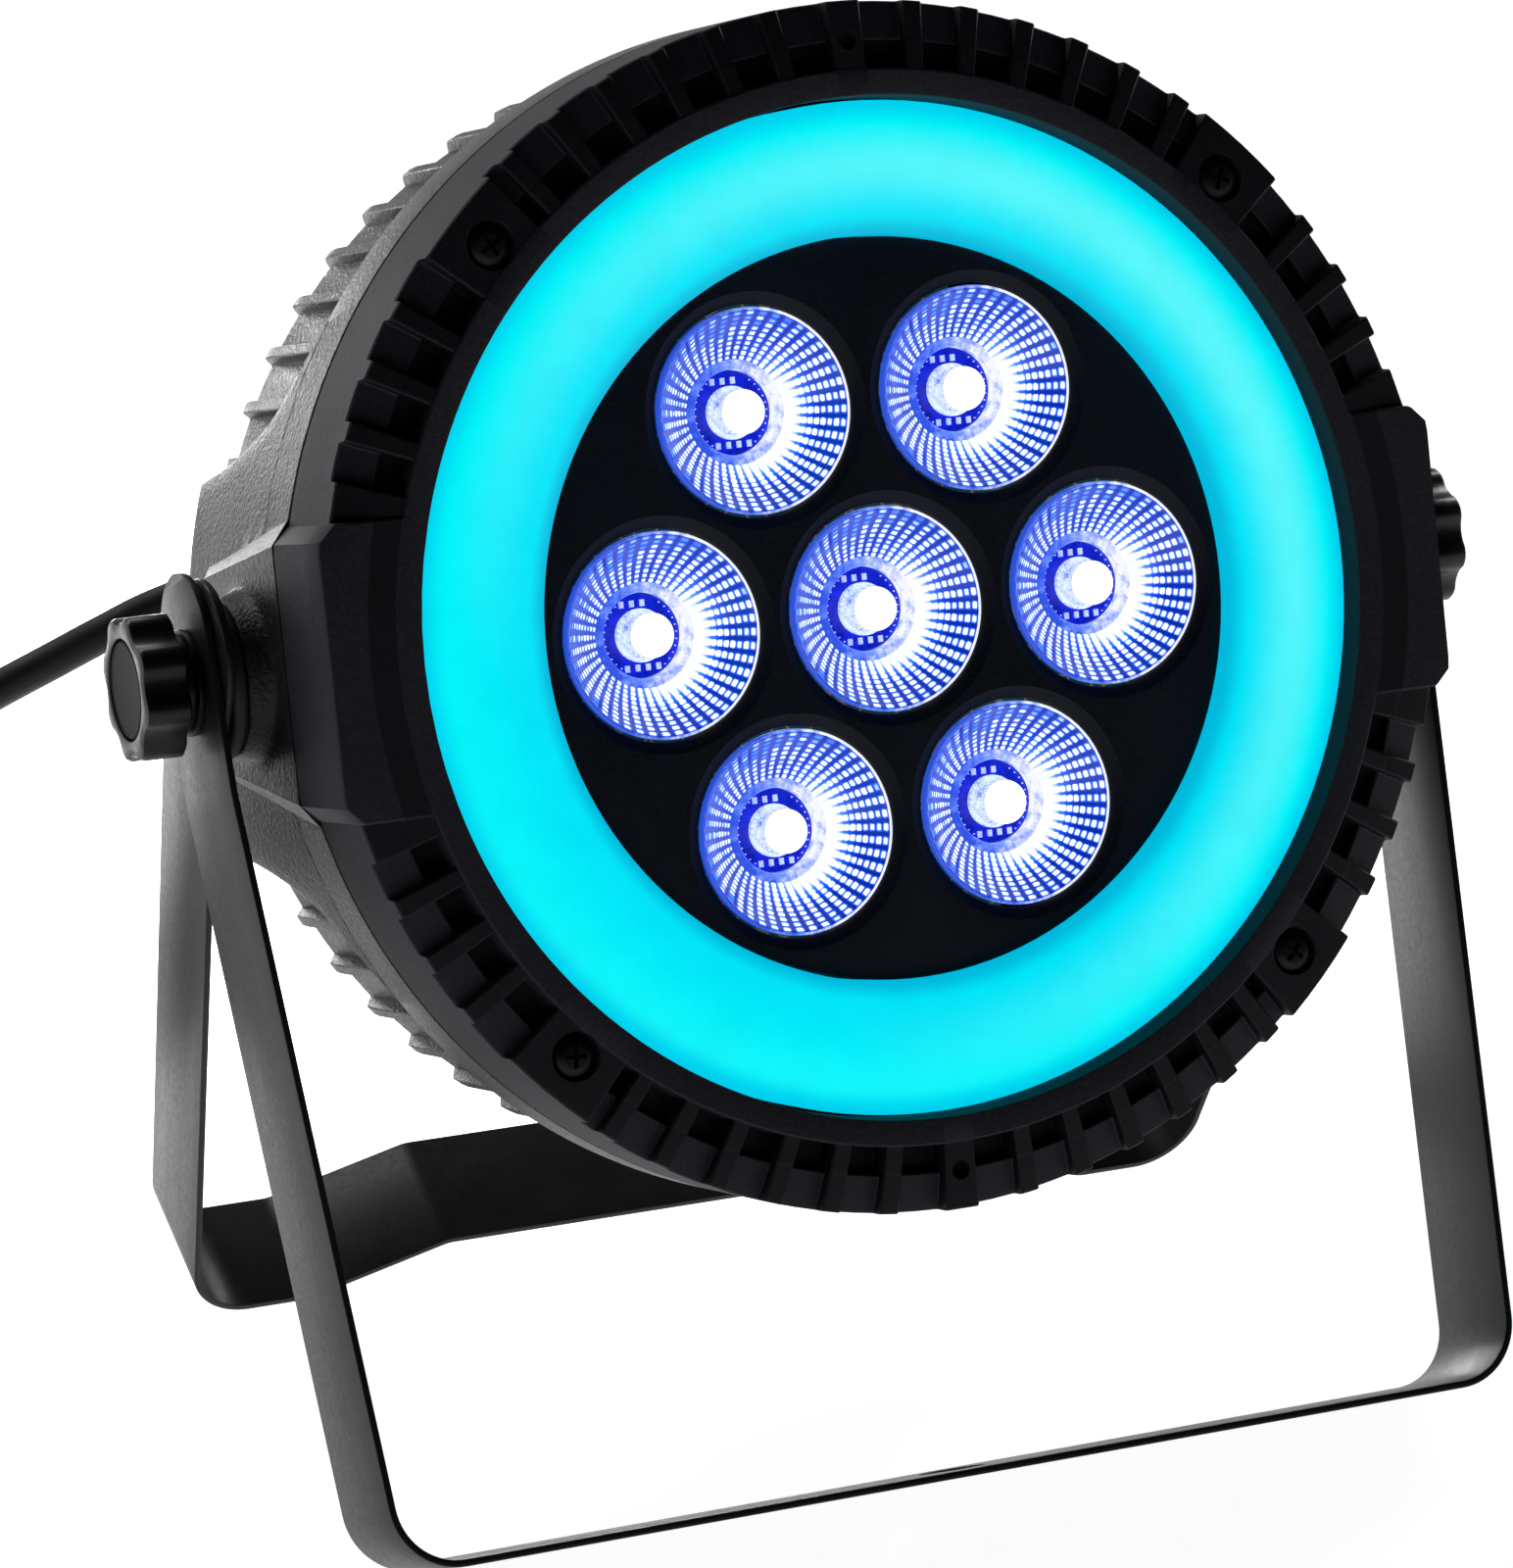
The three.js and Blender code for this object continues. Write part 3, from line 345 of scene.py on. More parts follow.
def well_light():
    """Printed board at the bottom of an optic, with painted blue light glowing on it."""
    s = Shader("well_light", Roughness=0.3)
    weave = s.cells(900)
    glow = s.noise(160, 3, 0.6)
    s.colour((0.0, 0.01, 0.2, 1))
    s.glow(s.ramp(s.plus(s.times(glow, 0.7), s.times(weave, 0.3)),
                  [(0.3, (0.001, 0.004, 0.22)), (0.65, (0.004, 0.014, 0.62))]), 1.0)
    s.rough(glow, 0.25, 0.4)
    s.bump((weave, 0.2, 0.0001))
    return s.material


def collar_light():
    s = Shader("collar_light", Roughness=0.15)
    streak = s.noise(420, 4, 0.65)
    s.colour((0.05, 0.06, 0.4, 1))
    # Painted light: the glow runs from deep blue to white towards +x, on the collar and the outer rim alike.
    s.glow(s.ramp(s.plus(streak, s.times(s.axes()[0], 26)),
                  [(0.25, (0.02, 0.08, 0.62)), (0.50, (0.18, 0.32, 0.95)), (0.75, (0.95, 0.97, 1.0))]), 0.95)
    s.rough(streak, 0.1, 0.25)
    s.bump((streak, 0.2, 0.0002))
    return s.material


def lens_light(name, low, high, strength):
    """Clear rod lens over the die, its face moulded in a fine honeycomb."""
    s = Shader(name, Roughness=0.05, Coat_Weight=1.0, Coat_Roughness=0.03)
    comb = s.cells(1500, "DISTANCE_TO_EDGE")
    cloud = s.noise(330, 2, 0.5)
    s.colour((0.6, 0.65, 1.0, 1))
    s.glow(s.ramp(s.plus(s.times(comb, 1.1), s.times(cloud, 0.6)),
                  [(0.2, low), (0.5, high)]), strength)
    s.rough(cloud, 0.04, 0.12)
    s.bump((comb, 0.4, 0.0002))
    return s.material


def printed_board(name, mask, copper):
    """Solder mask over traces and pads."""
    s = Shader(name, Roughness=0.45)
    traces = s.ramp(s.cells(180, "DISTANCE_TO_EDGE"), [(0.03, 1.0), (0.06, 0.0)])
    blotch = s.noise(120, 3)
    s.colour(s.mix(traces, s.ramp(blotch, [(0.3, mask), (0.7, [c * 1.5 for c in mask])]), copper))
    s.rough(blotch, 0.35, 0.55)
    s.bump((traces, 0.3, 0.0001))
    return s.material


def display_glass():
    s = Shader("display_glass", Roughness=0.08, Coat_Weight=0.6, Coat_Roughness=0.04)
    smear = s.noise(60, 4, 0.6)
    s.colour(s.ramp(smear, [(0.3, (0.016, 0.004, 0.005)), (0.7, (0.035, 0.008, 0.010))]))
    s.rough(smear, 0.06, 0.22, 0.35)
    s.bump((s.noise(700, 2), 0.03, 0.0001))
    return s.material


def digit_light():
    s = Shader("digit_light", Roughness=0.4)
    cell = s.noise(900, 2)
    s.colour((0.4, 0.02, 0.02, 1))
    s.glow(s.ramp(cell, [(0.3, (0.8, 0.02, 0.01)), (0.7, (1.0, 0.06, 0.03))]), 1.3)
    s.bump((cell, 0.1, 0.0001))
    return s.material


def studio_floor():
    s = Shader("studio_floor", Specular_IOR_Level=0.1)
    s.colour(s.ramp(s.noise(3, 2), [(0.3, 0.20), (0.7, 0.22)]))
    s.rough(s.noise(6, 2), 0.85, 0.95)
    # Painted pool of light: the floor glows brightest round a spot behind the lamp and dims away from it.
    x, y, _ = s.axes()
    y = s.minus(y, 0.38)
    away = s.length(x, y)
    s.glow(s.ramp(away, [(0.08, 1.0), (0.42, 0.24)], True), 4.0)
    return s.material


def make_materials():
    """Every finish by the short name that the pieces use."""
    black = (0.010, 0.010, 0.011)
    soft = (0.020, 0.020, 0.022)
    return {
        "housing": grained_plastic("housing_plastic", (0.006, 0.006, 0.006), (0.014, 0.014, 0.015),
                                   0.34, 0.56, 1300, 1.5, 0.22),
        "bezel": grained_plastic("bezel_plastic", (0.007, 0.0075, 0.012), (0.011, 0.0115, 0.018),
                                 0.58, 0.74, 1500, 0.5, 0.22),
        # A darker copy of the bezel plastic with finer grain: painted shade for the pockets, the rib and
        # block tops and the walls between them.
        "bezel_smooth": grained_plastic("bezel_smooth", (0.003, 0.003, 0.005), (0.005, 0.005, 0.008),
                                        0.5, 0.66, 2000, 0.3, 0.15),
        "plate": grained_plastic("plate_black", (0.002, 0.003, 0.006), (0.004, 0.006, 0.012), 0.45, 0.62,
                                 1700, 0.4, 0.12),
        "panel": grained_plastic("panel_black", black, soft, 0.35, 0.5, 2200, 0.15),
        "bracket": satin_paint("bracket_paint", (0.006, 0.006, 0.007), (0.012, 0.012, 0.013), 0.34, 0.48),
        "knob": satin_paint("knob_plastic", (0.003, 0.003, 0.004), (0.007, 0.007, 0.008), 0.26, 0.4),
        "cap": grained_plastic("cap_plastic", (0.010, 0.010, 0.011), (0.018, 0.018, 0.020), 0.5, 0.66,
                               2200, 0.2, 0.06),
        "rubber": soft_rubber("cable_rubber", (0.010, 0.010, 0.010), (0.022, 0.022, 0.022)),
        "gland": soft_rubber("gland_rubber", (0.008, 0.008, 0.008), (0.018, 0.018, 0.018), 0.5, 0.7),
        "plug": soft_rubber("plug_rubber", (0.012, 0.012, 0.012), (0.024, 0.024, 0.024), 0.4, 0.6),
        "button": soft_rubber("button_rubber", (0.03, 0.03, 0.032), (0.06, 0.06, 0.063), 0.5, 0.7),
        "zinc": plated_steel("zinc_plate", (0.62, 0.62, 0.60), 0.2, 0.42),
        "nickel": plated_steel("nickel_plate", (0.72, 0.69, 0.63), 0.12, 0.28),
        "brass": plated_steel("brass_metal", (0.75, 0.52, 0.22), 0.2, 0.4),
        "aluminium": plated_steel("cast_aluminium", (0.66, 0.67, 0.69), 0.3, 0.55, (1, 1, 1)),
        "black_steel": plated_steel("black_steel", (0.018, 0.018, 0.020), 0.35, 0.55, (1, 1, 1)),
        "socket": satin_paint("socket_shell", (0.012, 0.012, 0.013), (0.03, 0.03, 0.032), 0.22, 0.4, 0.3),
        "board": printed_board("circuit_green", (0.01, 0.07, 0.03), (0.45, 0.30, 0.12)),
        "halo": halo_light(),
        "facets": facet_light(),
        "well": well_light(),
        "collar": collar_light(),
        "lens_face": lens_light("lens_face", (0.75, 0.85, 1.0), (1.0, 1.0, 1.0), 1.6),
        "lens_side": lens_light("lens_side", (0.02, 0.05, 0.8), (0.7, 0.8, 1.0), 1.1),
        "mark": lens_light("mark_light", (0.12, 0.18, 0.9), (0.5, 0.6, 1.0), 0.9),
        "glass": display_glass(),
        "digit": digit_light(),
        "floor": studio_floor(),
    }


MAT = make_materials()


# ---- meshes

def add_object(name, data, place=WORLD):
    made = bpy.data.objects.new(name, data)
    bpy.context.scene.collection.objects.link(made)
    made.matrix_world = place
    return made


def weld(mesh, dissolve=True):
    """Joins doubled points and turns every face outwards."""
    work = bmesh.new()
    work.from_mesh(mesh)
    bmesh.ops.remove_doubles(work, verts=work.verts, dist=WELD)
    if dissolve:
        bmesh.ops.dissolve_degenerate(work, edges=work.edges, dist=WELD / 2)
    bmesh.ops.recalc_face_normals(work, faces=work.faces)
    work.to_mesh(mesh)
    work.free()


def make_piece(name, points, faces, place, materials, picks=None, sharp=SMOOTH_ANGLE, tidy=True):
    """A mesh object from points in millimetres in its own frame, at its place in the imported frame."""
    mesh = bpy.data.meshes.new(name)
    mesh.from_pydata([Vector(p) * MM for p in points], [], faces)
    for key in materials:
        mesh.materials.append(MAT[key])
    if picks:
        for polygon, pick in zip(mesh.polygons, picks):
            polygon.material_index = pick
    if tidy:
        weld(mesh)
    return finish_edges(add_object(name, mesh, place), sharp)


def hand_over(piece, body, slot, *nodes):
    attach(piece, body)
    if nodes:
        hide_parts(*nodes)
    return piece


def quads(rows, columns, wrap_rows=False, wrap_columns=True):
    faces = []
    for i in range(rows if wrap_rows else rows - 1):
        for j in range(columns if wrap_columns else columns - 1):
            a, b = i * columns + j, i * columns + (j + 1) % columns
            c, d = ((i + 1) % rows) * columns + (j + 1) % columns, ((i + 1) % rows) * columns + j
            faces.append((a, b, c, d))
    return faces


def eased(outline, closed=False, steps=3):
    """Rounds each corner of a line of (a, b) or (a, b, cut) points; cut is how far the round reaches."""
    line = []
    count = len(outline)
    for i, point in enumerate(outline):
        here = Vector(point[:2])
        cut = point[2] if len(point) > 2 else 0
        if not cut or (not closed and i in (0, count - 1)):
            line.append(tuple(here))
            continue
        before, after = Vector(outline[i - 1][:2]), Vector(outline[(i + 1) % count][:2])
        start = here + (before - here).normalized() * min(cut, (before - here).length * 0.49)
        end = here + (after - here).normalized() * min(cut, (after - here).length * 0.49)
        for k in range(steps + 1):
            t = k / steps
            line.append(tuple(start * (1 - t) ** 2 + here * 2 * t * (1 - t) + end * t ** 2))
    return line


def lathe_points(line, segments, axis="Y"):
    points = []
    for radius, along in line:
        for k in range(segments):
            angle = 2 * pi * k / segments
            a, b = radius * cos(angle), radius * sin(angle)
            points.append((a, along, b) if axis == "Y" else (along, a, b))
    return points


def spun(line, segments, axis="Y", centre=(0, 0, 0), closed=False):
    """A line of (radius, along) points turned round an axis, as points and faces."""
    points = [Vector(p) + Vector(centre) for p in lathe_points(line, segments, axis)]
    return points, quads(len(line), segments, closed)


def lathe(name, outline, segments, place, materials, axis="Y", centre=(0, 0, 0), closed=True, **more):
    shape = spun(eased(outline, closed), segments, axis, centre, closed)
    return make_piece(name, *shape, place, materials, **more)


def on_circle(radius, degrees, x=0.0, z=0.0):
    return x + radius * cos(radians(degrees)), 0, z + radius * sin(radians(degrees))


def box_points(low, high):
    points = [(x, y, z) for x in (low[0], high[0]) for y in (low[1], high[1]) for z in (low[2], high[2])]
    faces = [(0, 1, 3, 2), (4, 6, 7, 5), (0, 4, 5, 1), (2, 3, 7, 6), (0, 2, 6, 4), (1, 5, 7, 3)]
    return points, faces


def merge_shapes(*shapes):
    """Joins (points, faces) lists into one."""
    points, faces = [], []
    for more_points, more_faces in shapes:
        base = len(points)
        points += list(more_points)
        faces += [tuple(base + i for i in face) for face in more_faces]
    return points, faces


def corners_of(left, right, bottom, top, cut):
    return [(left, bottom, cut), (right, bottom, cut), (right, top, cut), (left, top, cut)]


def end_faces(count, total):
    """The first and the last ring of a stack, each closed by one face."""
    return [tuple(range(count)), tuple(range(total - count, total))]


def soft_box(low, high, ease, steps=2):
    """A box with rounded edges, as points and faces: an eased outline in X-Z, stacked along Y."""
    full = eased(corners_of(low[0], high[0], low[2], high[2], ease), True, steps)
    middle_x, middle_z = (low[0] + high[0]) / 2, (low[2] + high[2]) / 2
    half_x, half_z = (high[0] - low[0]) / 2, (high[2] - low[2]) / 2

    def ring(inset, y):
        return [(middle_x + (x - middle_x) * (half_x - inset) / half_x, y,
                 middle_z + (z - middle_z) * (half_z - inset) / half_z) for x, z in full]

    levels = [(ease, low[1]), (ease * 0.3, low[1] + ease * 0.3), (0, low[1] + ease),
              (0, high[1] - ease), (ease * 0.3, high[1] - ease * 0.3), (ease, high[1])]
    points = [p for inset, y in levels for p in ring(inset, y)]
    return points, quads(len(levels), len(full)) + end_faces(len(full), len(points))


def rod(radius, low, high, centre, segments=48, axis="Y"):
    """A plain rod used only as a cutter or a joined core."""
    return spun([(0, low), (radius, low), (radius, high), (0, high)], segments, axis, centre)


def scratch(shape, place):
    return make_piece("scratch", *shape, place, ())


def combine(target, tools, operation):
    """Cuts the tools out of the target, or joins them to it, and removes them."""
    for tool in tools:
        change = target.modifiers.new("combine", "BOOLEAN")
        change.operation = operation
        change.solver = "MANIFOLD"
        change.object = tool
    bpy.context.view_layer.update()
    graph = bpy.context.evaluated_depsgraph_get()
    result = bpy.data.meshes.new_from_object(target.evaluated_get(graph), depsgraph=graph)
    target.modifiers.clear()
    old = target.data
    target.data = result
    bpy.data.meshes.remove(old)
    for tool in tools:
        bpy.data.objects.remove(tool)
    return target


def finish_edges(piece, sharp=SMOOTH_ANGLE):
    """Sets the smooth and sharp edges again after a cut."""
    piece.data.shade_smooth()
    piece.data.set_sharp_from_angle(angle=radians(sharp))
    return piece


def carve(piece, shapes, sharp=SMOOTH_ANGLE):
    """Cuts shapes drawn in the piece's own frame out of it."""
    tools = [scratch(shape, piece.matrix_world) for shape in shapes]
    return finish_edges(combine(piece, tools, "DIFFERENCE"), sharp)


# ---- cord

CORD_RADIUS = 4.0
COIL_CENTRE = (-180.0, 192.0)
PLUG_END = (-159.0, 199.5, 33.3)
CORD_ROUTE = [
    (-62, 78.7, 143.3), (-62.5, 87, 140.4), (-65, 96, 138.4), (-71, 104, 137.4),
    (-79.5, 109.5, 136.9), (-90, 112, 135.8), (-102, 113, 132.6), (-114, 113, 127.8),
    (-125.5, 113, 122.8), (-137.5, 113, 117.6), (-150, 113.5, 111.3), (-163, 115, 102.3),
    (-175, 117, 90.3), (-186, 120, 76.3), (-196, 124, 60.8), (-205, 129, 45.3),
    (-213.5, 135.5, 30.8), (-221, 143.5, 18), (-226.5, 152, 8.6), (-229.5, 161, 4.4),
]
TAIL_ROUTE = [
    (-225, 170, 20.4), (-225, 184, 21.4), (-223, 198, 24), (-216, 211, 27.8), (-204.5, 220, 31),
    (-191, 223.5, 32.7), (-177, 221.5, 33.3), (-166.5, 214.5, 33.3), (-160.6, 207.5, 33.3),
    (-159, 198.0, 33.3),
]
COIL_TURNS = 4
START_ANGLE, END_ANGLE = 212.0, 206.0
OUTER_TURN, INNER_TURN = 50.0, 42.0
LOW_LAYER, HIGH_LAYER = 4.4, 12.3


def blend_along(t, stops):
    """Value at t on a smooth line through (t, value) stops."""
    for (t0, a), (t1, b) in zip(stops, stops[1:]):
        if t <= t1:
            share = (t - t0) / (t1 - t0)
            share = share * share * (3 - 2 * share)
            return a + (b - a) * share
    return stops[-1][1]


def coil_route():
    """Two turns in each of two layers: outside then inside below, inside then outside on top."""
    span = COIL_TURNS + (START_ANGLE - END_ANGLE) / 360
    radius_stops = [(0, 58.0), (0.16, OUTER_TURN), (0.9, OUTER_TURN), (1.12, INNER_TURN), (2.95, INNER_TURN),
                    (3.2, OUTER_TURN), (span, OUTER_TURN)]
    height_stops = [(0, LOW_LAYER), (1.92, LOW_LAYER), (2.2, HIGH_LAYER), (3.8, HIGH_LAYER), (span, 20.0)]
    count = 18 * COIL_TURNS
    route = []
    for k in range(1, count):
        t = span * k / count
        angle = radians(START_ANGLE - 360 * t)
        radius = blend_along(t, radius_stops)
        route.append((COIL_CENTRE[0] + radius * cos(angle), COIL_CENTRE[1] + radius * sin(angle),
                      blend_along(t, height_stops)))
    return route


def make_cord(with_pieces):
    route = CORD_ROUTE + coil_route() + TAIL_ROUTE
    curve = bpy.data.curves.new("mains_lead", "CURVE")
    curve.dimensions = "3D"
    curve.bevel_depth = CORD_RADIUS * MM
    curve.bevel_resolution = 6
    curve.resolution_u = 6
    curve.use_fill_caps = True
    spline = curve.splines.new("BEZIER")
    spline.bezier_points.add(len(route) - 1)
    for point, place in zip(spline.bezier_points, route):
        point.co = Vector(place) * MM
        point.handle_left_type = point.handle_right_type = "AUTO"
    curve.materials.append(MAT["rubber"])
    cord = add_object("mains_lead", curve)
    hand_over(cord, "head", "cable_rubber", "power_cable", "cable_coil", "cable_tail")


def make_plug():
    """Round moulded plug with a ribbed relief, lying on the coil with its two pins forward."""
    line = [(0, 0), (5.4, 0, 0.4)]
    for k in range(6):
        y = -3 - 3.4 * k
        grow = 5.5 + 0.25 * k
        line += [(grow, y, 0.2), (grow - 0.9, y - 0.3, 0.2), (grow - 0.9, y - 1.6, 0.2),
                 (grow + 0.1, y - 1.9, 0.2)]
    line += [(7.2, -24, 0.5), (13.6, -26.6, 2.5), (17, -34, 3), (17, -53.6, 0.8), (16.2, -55, 0.5), (0, -55)]
    body = lathe("plug_body", line, 64, Matrix.Translation(Vector(PLUG_END) * MM), ("plug",), closed=False)
    carve(body, [rod(2.2, -51, -36, on_circle(18.4, 15 * k), 16) for k in range(24)])
    pin = eased([(0, -54.5), (2.4, -54.5), (2.4, -72.6, 1.2), (1.2, -74), (0, -74)])
    both = merge_shapes(*[spun(pin, 24, centre=(x, 0, 0)) for x in (-9.5, 9.5)])
    pins = make_piece("plug_pins", *both, body.matrix_world, ("nickel",))
    hand_over(body, "head", "plug_rubber", "power_plug")
    hand_over(pins, "head", "zinc_steel")
    return [body, pins]


def make_tie():
    """Narrow fabric tie round the coil's four strands."""
    angle = radians(300)
    out = Vector((cos(angle), sin(angle), 0))
    along = Vector((-sin(angle), cos(angle), 0))
    centre = Vector((*COIL_CENTRE, 8.4)) + out * 46
    line = eased([(-8.7, -8.2, 3), (8.7, -8.2, 3), (8.7, 8.6, 3), (-8.7, 8.6, 3)], True, 5)
    points = []
    for width, thick in ((-5, 0), (-5, 0.7), (5, 0.7), (5, 0)):
        for a, b in line:
            grow = 1 + thick / 8.7
            points.append(centre + out * a * grow + Vector((0, 0, b * grow)) + along * width)
    tie = make_piece("lead_tie", points, quads(4, len(line), True), WORLD, ("rubber",))
    hand_over(tie, "head", "cable_rubber")
    return tie


# ---- bezel

RIB_ANGLES = [82.55 - 6 * k for k in (0, 1, 2, 3, 4, 5, 8, 9, 10)]
RIB_HALF = 0.95
EAR_TIP = EAR_HALF + EAR_CHAMFER
EAR_FILL = 17.8

# Radius, then y of a pocket, of a rib, of a screw's block and of the ear there, or one y for all four.
BEZEL_ROWS = [
    (100.0, -39.0),
    (100.0, -48.5),
    (100.12, -48.88),
    (100.5, -49.0),
    (104.85, -49.0),
    (105.25, -48.75, -48.75, -48.8, -49.0),
    (105.42, -42.9, -48.7, -48.75, -49.0),
    (105.8, -42.5, -48.65, -48.7, -49.0),
    (110.5, -42.4, -47.9, -48.35, -49.0),
    (110.85, -42.7, -47.85, -48.3, -49.0),
    (110.95, -45.0, -47.8, -48.3, -49.0),
    (111.3, -45.25, -47.75, -48.25, -49.0),
    (117.7, -43.5, -46.6, -47.75, -49.0),
    (118.4, -43.25, -46.4, -47.6, -48.85),
    (118.7, -42.8, -45.9, -47.1, -48.3),
    (118.7, -40.0),
    (118.7, -22.4),
    (118.35, -21.85),
    (115.7, -21.85),
    (115.7, -38.9),
]
BEZEL_ROWS = [row if len(row) == 5 else (row[0], *row[1:] * 4) for row in BEZEL_ROWS]
POCKET, RIB, BLOCK, EAR = 1, 2, 3, 4
OUTER_ROWS = 12
FACE_EDGE = 105.3
SCREW_ANGLES = (45, 135, 225, 315)


def outline_radius(angle):
    """Distance from the axis to the head's outline, which is flat at the two pivots."""
    c, s = abs(cos(angle)), abs(sin(angle))
    flat = EAR_X / c if c > 1e-6 else 1e9
    if flat * s <= EAR_HALF:
        return flat
    slope = (EAR_X + EAR_HALF) / (c + s)
    return slope if slope * s <= EAR_TIP else HEAD_RADIUS


def raised_spans():
    """(low edge, high edge, level) going up one quarter, in degrees; None is the edge of the ear."""
    spans = [(0.0, None, EAR), (None, EAR_FILL, RIB)]
    spans += [(a - RIB_HALF, a + RIB_HALF, RIB) for a in RIB_ANGLES]
    spans += [(45 - 4.85, 45 + 4.85, BLOCK), (88.3, 90.0, BLOCK)]
    return sorted(spans, key=lambda span: 14.0 if span[0] is None else span[0])


def quarter_columns():
    """Columns of the bezel's grid over one quarter: (degrees or None, shift in mm, level, softening)."""
    columns = [(0.0, 0, EAR, 0), (4.0, 0, EAR, 0), (8.0, 0, EAR, 0), (11.0, 0, EAR, 0), (12.0, 0, EAR, 0),
               (None, -0.5, EAR, 0), (None, 0, EAR, 0.3), (None, 0.15, RIB, 0)]
    spans = raised_spans()[1:]
    columns += [(EAR_FILL, -0.4, RIB, 0), (EAR_FILL, 0, RIB, 0.3)]
    previous = EAR_FILL
    for low, high, level in spans[1:]:
        columns += [(previous, 0.12, POCKET, -0.3), (previous, 0.5, POCKET, 0)]
        if low - previous > 3:
            columns.append(((low + previous) / 2, 0, POCKET, 0))
        columns += [(low, -0.5, POCKET, 0), (low, -0.12, POCKET, -0.3)]
        columns += [(low, 0, level, 0.3), (low, 0.4, level, 0)]
        if high - low > 3:
            columns += [(low + (high - low) * k / 4, 0, level, 0) for k in (1, 2, 3)]
        if high < 90:
            columns += [(high, -0.4, level, 0), (high, 0, level, 0.3)]
        previous = high
    return columns


def bezel_angle(column, radius):
    degrees, shift = column[:2]
    reach = max(radius, FACE_EDGE)
    base = asin(EAR_TIP / reach) if degrees is None else radians(degrees)
    return base + shift / reach


def make_bezel():
    quarter = quarter_columns()
    down = quarter[::-1]
    parts = ((0, 1, quarter), (180, -1, down), (180, 1, quarter[1:]), (360, -1, down[:-1]))
    circle = [(turn, sense, column) for turn, sense, part in parts for column in part]
    points = []
    for index, row in enumerate(BEZEL_ROWS):
        for turn, sense, column in circle:
            angle = radians(turn) + sense * bezel_angle(column, row[0])
            radius = row[0]
            if index >= OUTER_ROWS and radius > 117:
                radius += outline_radius(angle) - HEAD_RADIUS
            y = row[column[2]]
            if row[0] > FACE_EDGE and y < -41:
                y += column[3]
            points.append((radius * cos(angle), y, radius * sin(angle)))
    count = len(circle)
    faces = quads(len(BEZEL_ROWS), count, True)
    # Faces marked smooth here take the second, darker material: painted shade on the inner pocket band, the
    # rib and block tops and the walls between levels.
    picks = []
    for index in range(len(faces)):
        row, column = divmod(index, count)
        level, following = circle[column][2][2], circle[(column + 1) % count][2][2]
        smooth = level != following or level in (RIB, BLOCK) or 6 <= row <= 9
        picks.append(1 if 5 <= row <= 13 and smooth else 0)
    bezel = make_piece("bezel", points, faces, HEAD, ("bezel", "bezel_smooth"), picks, tidy=False)
    weld(bezel.data, False)
    holes = []
    for degrees in SCREW_ANGLES:
        centre = on_circle(SCREW_CIRCLE, degrees)
        holes += [rod(4.9, -50, -45.6, centre), rod(2.2, -50, -20, centre, 24)]
    holes += [rod(1.9, -50, -45.2, on_circle(MARK_CIRCLE, degrees), 32) for degrees in (90, 270)]
    carve(bezel, holes, 30)
    return hand_over(bezel, "head", "housing_plastic", "front_bezel")


def make_bezel_screws():
    """Recessed cross-head screws, each turned to another angle."""
    line = [(0, -48.1), (2.6, -48.0, 0.5), (4.2, -47.2, 0.5), (4.3, -46.0, 0.2), (2.0, -46.0), (2.0, -30),
            (0, -30)]
    for index, degrees in enumerate(SCREW_ANGLES):
        centre = Vector(on_circle(SCREW_CIRCLE, degrees))
        screw = lathe(f"cross_screw_{index + 1}", line, 40, HEAD, ("black_steel",), centre=centre,
                      closed=False)
        cutters = []
        for turn in (20 + 37 * index, 110 + 37 * index):
            points, faces = box_points((-2.3, -49, -0.42), (2.3, -46.6, 0.42))
            spin = Matrix.Rotation(radians(turn), 4, "Y")
            cutters.append(([spin @ Vector(p) + centre for p in points], faces))
        carve(screw, cutters)
        hand_over(screw, "head", "screw_black", f"bezel_screw_{index + 1}")


# ---- halo, plate and optics

def make_halo():
    line = []
    for k in range(17):
        across = k / 8 - 1
        line.append((HALO_RADIUS + HALO_HALF * across, -43.2 - 3.3 * (1 - across * across)))
    line += [(99.4, -34.0), (97.4, -34.0)]
    for k in range(16, -1, -1):
        across = k / 8 - 1
        line.append((HALO_RADIUS + (HALO_HALF - 2) * across, -41.2 - 3.3 * (1 - across * across)))
    line += [(75.3, -34.0), (73.3, -34.0)]
    halo = lathe("halo_ring", line, 144, HEAD, ("halo",), sharp=50)
    hand_over(halo, "head", "halo_diffuser", "halo_diffuser")


def optic_places():
    places = [(0.0, 0.0)]
    places += [(OPTIC_CIRCLE * cos(radians(60 * k)), OPTIC_CIRCLE * sin(radians(60 * k))) for k in range(6)]
    return places


def make_plate():
    line = [(0, PLATE_Y), (PLATE_RADIUS, PLATE_Y, 0.4), (PLATE_RADIUS, PLATE_Y + 3, 0.3), (0, PLATE_Y + 3)]
    plate = lathe("plate", line, 128, HEAD, ("plate",), closed=False)
    funnel = eased([(0, PLATE_Y - 1), (23.4, PLATE_Y - 1), (23.3, PLATE_Y, 0.3), (20.8, PLATE_Y + 1.5, 0.3),
                    (20.8, PLATE_Y + 4), (0, PLATE_Y + 4)])
    carve(plate, [spun(funnel, 80, centre=(x, 0, z)) for x, z in optic_places()], 40)
    hand_over(plate, "head", "plate_black", "optic_plate")


FACET_COLUMNS, FACET_ROWS = 44, 10


